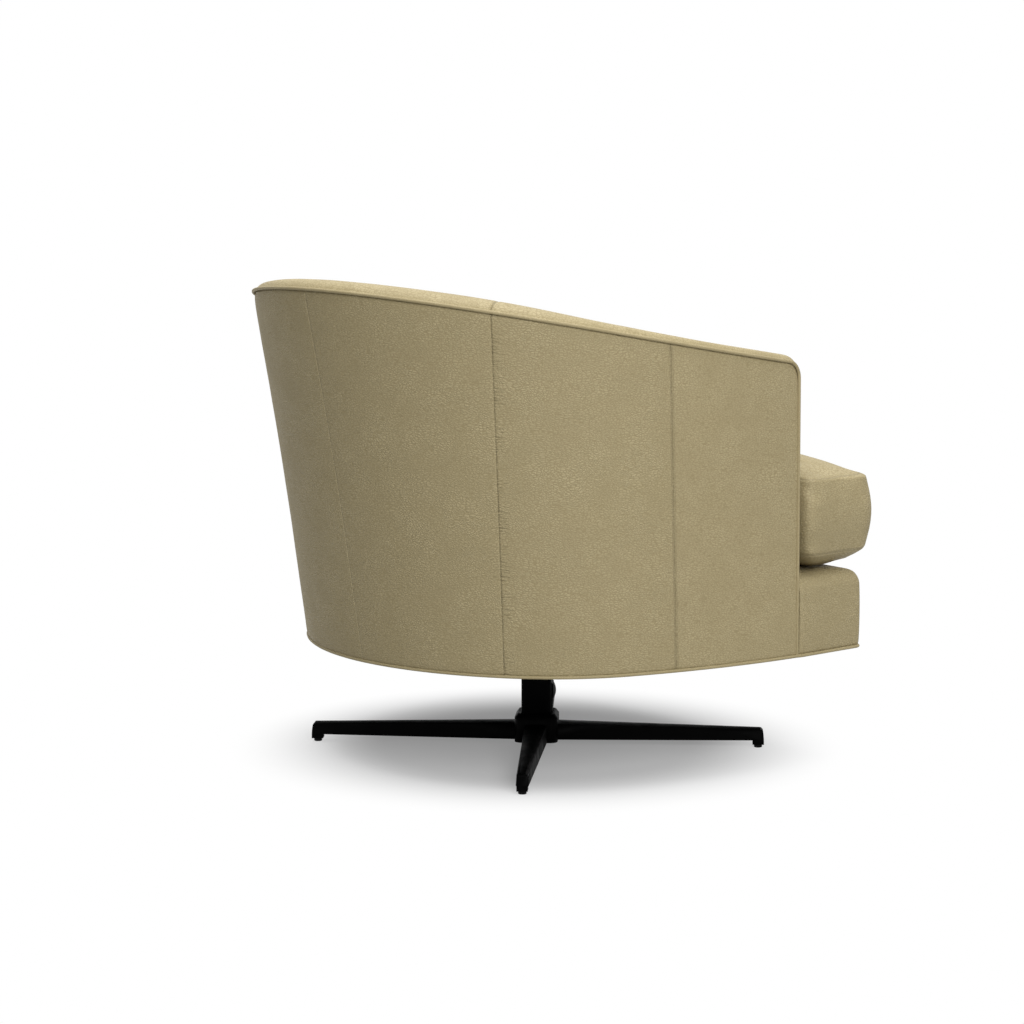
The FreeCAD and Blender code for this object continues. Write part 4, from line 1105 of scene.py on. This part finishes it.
# %% Zip
def zip_tape():
    """Woven tape with a coil of teeth along its middle."""
    material, tree, shader = new_material("zip tape", 0.7)
    run, across, _ = map_of(tree, "cloth")
    off = maths(tree, "ABSOLUTE", across)
    coil = smooth_range(tree, off, 0.0022, 0.0030, 1.0, 0.0)
    teeth, weave, rib = [maths(tree, "SINE", times(tree, along, math.tau / pitch))
                         for along, pitch in ((run, 0.0021), (run, 0.0011), (across, 0.0013))]
    teeth = times(tree, smooth_range(tree, teeth, -0.4, 0.6), coil)
    gap = smooth_range(tree, off, 0.0001, 0.0005)
    weave = times(tree, weave, rib, maths(tree, "SUBTRACT", 1.0, coil))
    height = plus(tree, times(tree, teeth, gap), times(tree, weave, 0.15))
    color = mixed(tree, teeth, toned(HIDE, 0.42), toned(HIDE, 0.75))
    dress(tree, shader, color, height, 0.8, 0.0006)
    return material


ZIP_HALF = 0.012
ZIP_INSET = 0.0012
ZIP_TURN = turn_where(INSIDE, SEAM_MIDDLE, ZIP_INSET, 1, lambda spot: spot.y <= AXIS_Y + 0.002)
bm, maps, places = grid(120, 6, "cloth")
facts = {}
for vert, _, _ in places:
    turn, rise = vert.co.x * ZIP_TURN, vert.co.y * ZIP_HALF
    spot = wall_point(INSIDE, turn, SEAM_MIDDLE, ZIP_INSET + 0.0006 * abs(rise / ZIP_HALF))
    vert.co = spot + Vector((0, 0, rise))
    run = math.atan2(vert.co.x, vert.co.y - AXIS_Y + 0.05) * 0.235
    facts[vert] = [(run, vert.co.z - SEAM_MIDDLE)]
fill_maps(bm, maps, facts)
face_out(bm, lambda face: face.normal.y < 0,
         lambda faces: max(faces, key=lambda face: face.calc_center_median().y))
zip_piece = link_piece("zip", bm, zip_tape(), "seat_cushion", ["cushion_zip"])
thicken(zip_piece, 0.0012, "tape")
print("zip", round(2 * ZIP_TURN, 2), "turns long")


# %% Linings of the back and arms
def behind_sitter(spot, normal):
    """Hold every point of a lining except those that face the sitter."""
    toward = Vector((-spot.x, AXIS_Y + 0.03 - spot.y, 0.0)).normalized()
    return 1.0 - clamped((max(0.0, normal.dot(toward)) - 0.35) / 0.3)


def back_to_edge(spot, normal):
    """Grow the hidden side of a lining, which the smoothing made smaller."""
    return 0.0045 * behind_sitter(spot, normal) * normal


for name, node_name in (("lining_back", "inner_back_pad"), ("lining_arm_left", "inner_arm_pad_left"),
                        ("lining_arm_right", "inner_arm_pad_right")):
    stuffed(name, [node_name], 0.0075, LEATHER, "seat", behind_sitter, relax=5, grown=back_to_edge)
stuffed("deck", ["deck_foam"], 0.012, LEATHER, "seat", lambda spot, normal: 1.0,
        inset=0.0, cap=0.001, sideways=0.001)

# %% [markdown]
# The cast base and the column are powder-coated black. The solids are copied and their loose triangles
# merged. A very small bevel breaks their edges and keeps the faces beside them flat under the light; it
# stays as narrow as the shortest edge allows. The coat is a fine orange peel: small low bumps and
# slight changes of gloss. The ends of the legs are rounded, which the solid leaves straight.

# %% Finishes of the hard parts
def coat_group():
    """Fine orange peel of a powder coat: roughness and height from a place."""
    inputs = [("Place", "v", None), ("Low", "f", 0.34), ("High", "f", 0.5)]
    group, come, go = new_group("powder coat", inputs, [("Roughness", "f"), ("Height", "f")])
    dust = noisy(group, come["Place"], 35.0, 4.0)
    rough = node(group, "MapRange", None, i0=dust, i1=0.35, i2=0.65, i3=come["Low"], i4=come["High"])
    group.links.new(rough.outputs[0], go["Roughness"])
    group.links.new(noisy(group, come["Place"], 900.0, 2.0), go["Height"])
    return group


POWDER_COAT = coat_group()


def coated(name, color, low, high, bump=0.12, metallic=0.0, specular=0.5):
    """A hard finish with a fine peel and slightly uneven gloss."""
    material, tree, shader = new_material(name)
    place = object_place(tree)
    coat = placed(tree, POWDER_COAT, Place=place, Low=low, High=high)
    color = mixed(tree, noisy(tree, place, 12.0, 4.0), toned(color, 0.82), color)
    dress(tree, shader, color, coat["Height"], bump, 0.0002, coat["Roughness"])
    shader.inputs["Metallic"].default_value = metallic
    shader.inputs["Specular IOR Level"].default_value = specular
    return material


def timber(name, pale, dark, ring_scale, stretch):
    """Wood with its grain along one axis; stretch gives the scale of the pattern on each axis."""
    material, tree, shader = new_material(name, 0.62)
    along = node(tree, "Mapping", None, Vector=object_place(tree), Scale=stretch).outputs[0]
    flow = noisy(tree, along, ring_scale, 5.0, Distortion=0.6)
    pores = noisy(tree, along, ring_scale * 9, 2.0)
    rings = maths(tree, "PINGPONG", times(tree, flow, 9.0), 1.0)
    porous = times(tree, smooth_range(tree, pores, 0.58, 0.7), 0.5)
    color = mixed(tree, porous, mixed(tree, rings, dark, pale), toned(dark, 0.5))
    dress(tree, shader, color, pores, 0.2, 0.0003)
    return material


def cloth_finish(name, color, threads_per_metre, fuzz=0.3):
    """Plain woven or felted cloth."""
    material, tree, shader = new_material(name, 0.9)
    place = object_place(tree)
    spots = split(tree, place)
    turns = [maths(tree, "SINE", times(tree, spots[axis], threads_per_metre * math.tau)) for axis in (0, 1)]
    weave = times(tree, times(tree, *turns), 0.5 * (1 - fuzz))
    height = plus(tree, weave, times(tree, noisy(tree, place, 700.0, 3.0), fuzz * 2))
    shade = smooth_range(tree, height, -0.5, 1.2)
    dress(tree, shader, mixed(tree, shade, toned(color, 0.6), color), height, 0.5, 0.0004)
    shader.inputs["Sheen Weight"].default_value = 0.2
    return material


BLACK_COAT = coated("black powder coat", (0.0006, 0.0006, 0.0006), 0.4, 0.55, bump=0.08, specular=0.025)
BLACK_PLASTIC = coated("black plastic", (0.002, 0.002, 0.002), 0.42, 0.55, bump=0.06, specular=0.08)
STEEL = coated("zinc-plated steel", (0.42, 0.42, 0.40), 0.3, 0.45, bump=0.08, metallic=1.0)
SPRING_STEEL = coated("blued spring steel", (0.07, 0.075, 0.085), 0.35, 0.5, bump=0.08, metallic=1.0)
NYLON = coated("white nylon", (0.62, 0.61, 0.56), 0.45, 0.6, bump=0.05)
PLYWOOD = timber("birch plywood", (0.55, 0.40, 0.24), (0.42, 0.28, 0.15), 7.0, (1.0, 8.0, 60.0))
HARDWOOD = timber("beech", (0.50, 0.31, 0.18), (0.40, 0.23, 0.12), 10.0, (6.0, 6.0, 0.7))
FELT = cloth_finish("grey insulating felt", (0.16, 0.155, 0.15), 300.0, fuzz=0.95)
DUST_CLOTH = cloth_finish("black dust cloth", (0.012, 0.012, 0.013), 650.0)


# %% Base, column and glides
TOE_LEVELS = (10, 14, 18, 21, 23.5, 25, 26, 27, 28, 30, 30.5)
TOE_START = 0.33
TOE_FOOT = 0.349
TOE_LOW = 0.005
TOE_TOP = 0.031
TOE_HALF = 0.008
TOE_ROUND = 0.0034


def swell_toes(bm):
    """The ends of the legs are a little convex, and turn over into the top with a round."""
    axis = Vector((0, AXIS_Y))
    for level in TOE_LEVELS:
        toes = [face for face in bm.faces if (face.calc_center_median().xy - axis).length > TOE_START]
        sides = dict.fromkeys(edge for face in toes for edge in face.edges)
        ends = dict.fromkeys(vert for face in toes for vert in face.verts)
        bmesh.ops.bisect_plane(bm, geom=[*ends, *sides, *toes], dist=0.00001,
                               plane_co=(0, 0, level * MM), plane_no=(0, 0, 1))
    merge_loose(bm, 0.00003)
    quarter = math.pi / 2
    first = quarter / 2
    moved = 0
    for vert in bm.verts:
        away = vert.co.xy - axis
        leg_at = first + quarter * round((math.atan2(away.y, away.x) - first) / quarter)
        leg = Vector((math.cos(leg_at), math.sin(leg_at)))
        along, aside = away.dot(leg), away.cross(leg)
        up = vert.co.z - TOE_LOW
        straight = max(0.344, TOE_FOOT - 0.005 * up / 0.024)
        if abs(along - straight) > 0.0006:
            continue
        end = TOE_FOOT - 0.003 * max(0.0, up / 0.026) ** 2.6
        above = vert.co.z - (TOE_TOP - 0.002 * (aside / TOE_HALF) ** 2 - TOE_ROUND)
        if above > 0:
            end -= TOE_ROUND - math.sqrt(max(0.0, TOE_ROUND ** 2 - above ** 2))
        vert.co.xy += leg * (end - along)
        moved += 1
    print("toe points moved", moved)


def merge_loose(bm, reach):
    """Merge points that lie together, and drop the faces that this leaves without a size."""
    bmesh.ops.remove_doubles(bm, verts=bm.verts, dist=reach)
    bmesh.ops.dissolve_degenerate(bm, dist=reach, edges=bm.edges)


def rounded_copy(name, source, width, material, shape=None):
    """A merged copy of a CAD solid of the base, with its sharp edges broken."""
    bm = bmesh.new()
    bm.from_mesh(NODES[source].data)
    merge_loose(bm, 0.00001)
    if shape:
        shape(bm)
    bare = BVHTree.FromBMesh(bm)
    piece = link_piece(name, bm, material, "base", [source])
    edge = piece.modifiers.new("rounds", "BEVEL")
    edge.width = width
    edge.segments = 2
    edge.limit_method = "ANGLE"
    edge.angle_limit = SHARP
    edge.use_clamp_overlap = True
    edge.harden_normals = True
    rounded = evaluated_mesh(piece)
    furthest = max(bare.find_nearest(vert.co)[3] for vert in rounded.vertices)
    bpy.data.meshes.remove(rounded)
    if furthest > width:
        piece.modifiers.remove(edge)
        piece.data.set_sharp_from_angle(angle=SHARP)
    print(name, "points stay within", round(furthest / MM, 4), "mm of the bare solid")


SHARP = math.radians(32)
rounded_copy("base", "base_casting", 0.0010, BLACK_COAT, shape=swell_toes)
rounded_copy("column", "column_sleeve", 0.0006, BLACK_COAT)
rounded_copy("collar", "column_collar", 0.0006, BLACK_COAT)
rounded_copy("cap", "boss_cap", 0.0003, BLACK_PLASTIC)

# %% [markdown]
# Under the seat a thin black cloth keeps dust out of the springs, and over the springs lies a sheet of
# felt. Both are sheets: a ring of points round the outline and rings towards the middle, joined as a
# grid that is bent round, with a slight sag between the staples.

# %% Dust cloth and felt
def ring_sheet(name, outline, hole, level, rings, sag, material, replaced):
    """A sheet between an outline and a hole of as many points; a closed sheet's hole is one spot."""
    count = len(outline)
    bm, _, places = grid(count, rings)
    for vert, along, share in places:
        index = round(along * count) % count
        spot = outline[index].lerp(hole[index], share)
        waves = 0.4 + 0.6 * noise.noise(Vector((*spot, 0.0)) * 11.0)
        vert.co = (*spot, level - sag * waves * math.sin(math.pi * share))
    bmesh.ops.remove_doubles(bm, verts=bm.verts, dist=0.00001)
    bmesh.ops.recalc_face_normals(bm, faces=bm.faces)
    area = sum(face.calc_area() for face in bm.faces)
    piece = link_piece(name, bm, material, "seat", replaced)
    print(name, "area", round(area, 3))
    return piece


def flat_points(points):
    """Points of a path without their level."""
    return [point.xy for point in points]


CENTRE = Vector((0.0, AXIS_Y))
HOLE_HALF = 0.107
cover_outline = flat_points(foot_path(0.175, 0.0118, 0.012, FRAME_FRONT))
cover_hole = []
for point in cover_outline:
    away = point - CENTRE
    cover_hole.append(CENTRE + away * (HOLE_HALF / max(abs(away.x), abs(away.y))))
ring_sheet("dust_cloth", cover_outline, cover_hole, 0.1754, 16, 0.0004, DUST_CLOTH, ["dust_cover"])
FELT_LEVEL = 0.2632
felt_half = [wall_point(INSIDE, FRONT_TURN * i / 90, FELT_LEVEL, 0.001) for i in range(91)]
corner = felt_half[-1]
felt_front = [corner.lerp(Vector((-corner.x, corner.y, FELT_LEVEL)), i / 40) for i in range(1, 40)]
felt_outline = flat_points(felt_half + felt_front + mirrored(felt_half[1:]))
ring_sheet("felt", felt_outline, [CENTRE] * len(felt_outline), FELT_LEVEL, 20, 0.0002, FELT,
           ["spring_felt"])

# %% Hidden parts
FINISHES = {
    "glide": BLACK_PLASTIC, "hub_bolt": STEEL, "lower_bush": NYLON, "upper_bush": NYLON,
    "lower_race": STEEL, "upper_race": STEEL, "bearing": STEEL, "swivel_spindle": STEEL,
    "retaining": SPRING_STEEL, "seat_plate": BLACK_COAT, "plate_bolts": STEEL, "plate_tee": STEEL,
    "seat_board": PLYWOOD, "top_rail": HARDWOOD, "frame_posts": HARDWOOD, "arm_front": PLYWOOD,
    "spring_rail": HARDWOOD, "spring_side": HARDWOOD, "apron_rail": HARDWOOD,
    "seat_springs": SPRING_STEEL, "spring_clips": STEEL,
}
finished = 0
for node_name, thing in NODES.items():
    for prefix, material in FINISHES.items():
        if node_name.startswith(prefix):
            thing.data.materials.clear()
            thing.data.materials.append(material)
            finished += 1
print("finished nodes", finished)

# %% [markdown]
# The stage is a plain pale floor under soft studio light, as in a packshot. The world gives an even
# fill, a large lamp above gives the rim and the cushion their light tops, and one at the right side of
# the picture gives the round back its slow fall of light. The backdrop is white for the camera and for
# reflections only, so the object is lit at a plain level. The floor is paler for the camera than for the
# light that it throws back. It also glows white for the camera and for reflections, a painted light that
# lightens the chair's shadow a little and grows to full white away from the chair, so that only the
# shadow shows.

# %% Stage and light
def area_lamp(name, place, target, size, watts):
    """A large soft lamp that looks at a target."""
    data = bpy.data.lights.new(name, "AREA")
    data.shape = "DISK"
    data.size = size
    data.energy = watts
    lamp = bpy.data.objects.new(name, data)
    lamp.location = place
    lamp.rotation_euler = (Vector(target) - Vector(place)).to_track_quat("-Z", "Y").to_euler()
    bpy.context.scene.collection.objects.link(lamp)


def white_for_camera(tree, dim, bright):
    """A strength that is bright for camera, glossy and glass rays, and dim for light."""
    path = node(tree, "LightPath")
    seen = maths(tree, "MAXIMUM", path.outputs["Is Camera Ray"], path.outputs["Is Glossy Ray"])
    seen = maths(tree, "MAXIMUM", seen, path.outputs["Is Transmission Ray"])
    return plus(tree, times(tree, seen, bright - dim), dim)


FILL = 0.35
FLOOR_LIT = 0.46
FLOOR_SEEN = 0.62
world = bpy.data.worlds.new("studio")
bpy.context.scene.world = world
world.use_nodes = True
background = world.node_tree.nodes["Background"]
background.inputs["Color"].default_value = (1.0, 1.0, 1.0, 1.0)
world.node_tree.links.new(white_for_camera(world.node_tree, FILL, 1.0), background.inputs["Strength"])

bm = bmesh.new()
bmesh.ops.create_circle(bm, cap_ends=True, segments=64, radius=30.0)
floor_mesh = bpy.data.meshes.new("floor")
bm.to_mesh(floor_mesh)
bm.free()
floor_piece = bpy.data.objects.new("floor", floor_mesh)
bpy.context.scene.collection.objects.link(floor_piece)
floor_material, tree, shader = new_material("white floor", 0.9)
shader.inputs["Specular IOR Level"].default_value = 0.0
seen = node(tree, "LightPath").outputs["Is Camera Ray"]
tree.links.new(mixed(tree, seen, (FLOOR_LIT,) * 3, (FLOOR_SEEN,) * 3), shader.inputs["Base Color"])
from_axis = vectors(tree, "SUBTRACT", object_place(tree), (0.0, AXIS_Y, 0.0))
reach = node(tree, "VectorMath", {"operation": "LENGTH"}, i0=from_axis).outputs["Value"]
# Painted light: for camera, glossy and glass rays the floor glows white, a quarter of the way near the
# chair, which lightens the real shadow there, and fully beyond about half a metre, which hides the floor's
# own shading.
painted_floor_glow = times(tree, smooth_range(tree, reach, 0.23, 0.48, 0.24), white_for_camera(tree, 0.0, 1.0))
glow = node(tree, "Emission", None, Strength=1.0)
surface = node(tree, "MixShader", None, i0=painted_floor_glow, i1=shader.outputs[0], i2=glow.outputs[0])
tree.links.new(surface.outputs[0], tree.nodes["Material Output"].inputs["Surface"])
floor_piece.data.materials.append(floor_material)

area_lamp("top light", (0.0, 0.0, 3.4), (0.0, 0.0, 0.4), 3.0, 110.0)
area_lamp("side light", (-3.62, 1.41, 2.2), (0.0, 0.0, 0.45), 2.6, 112.0)
bpy.context.scene.view_settings.view_transform = "Standard"

# %% Last update of the scene
bpy.context.view_layer.update()
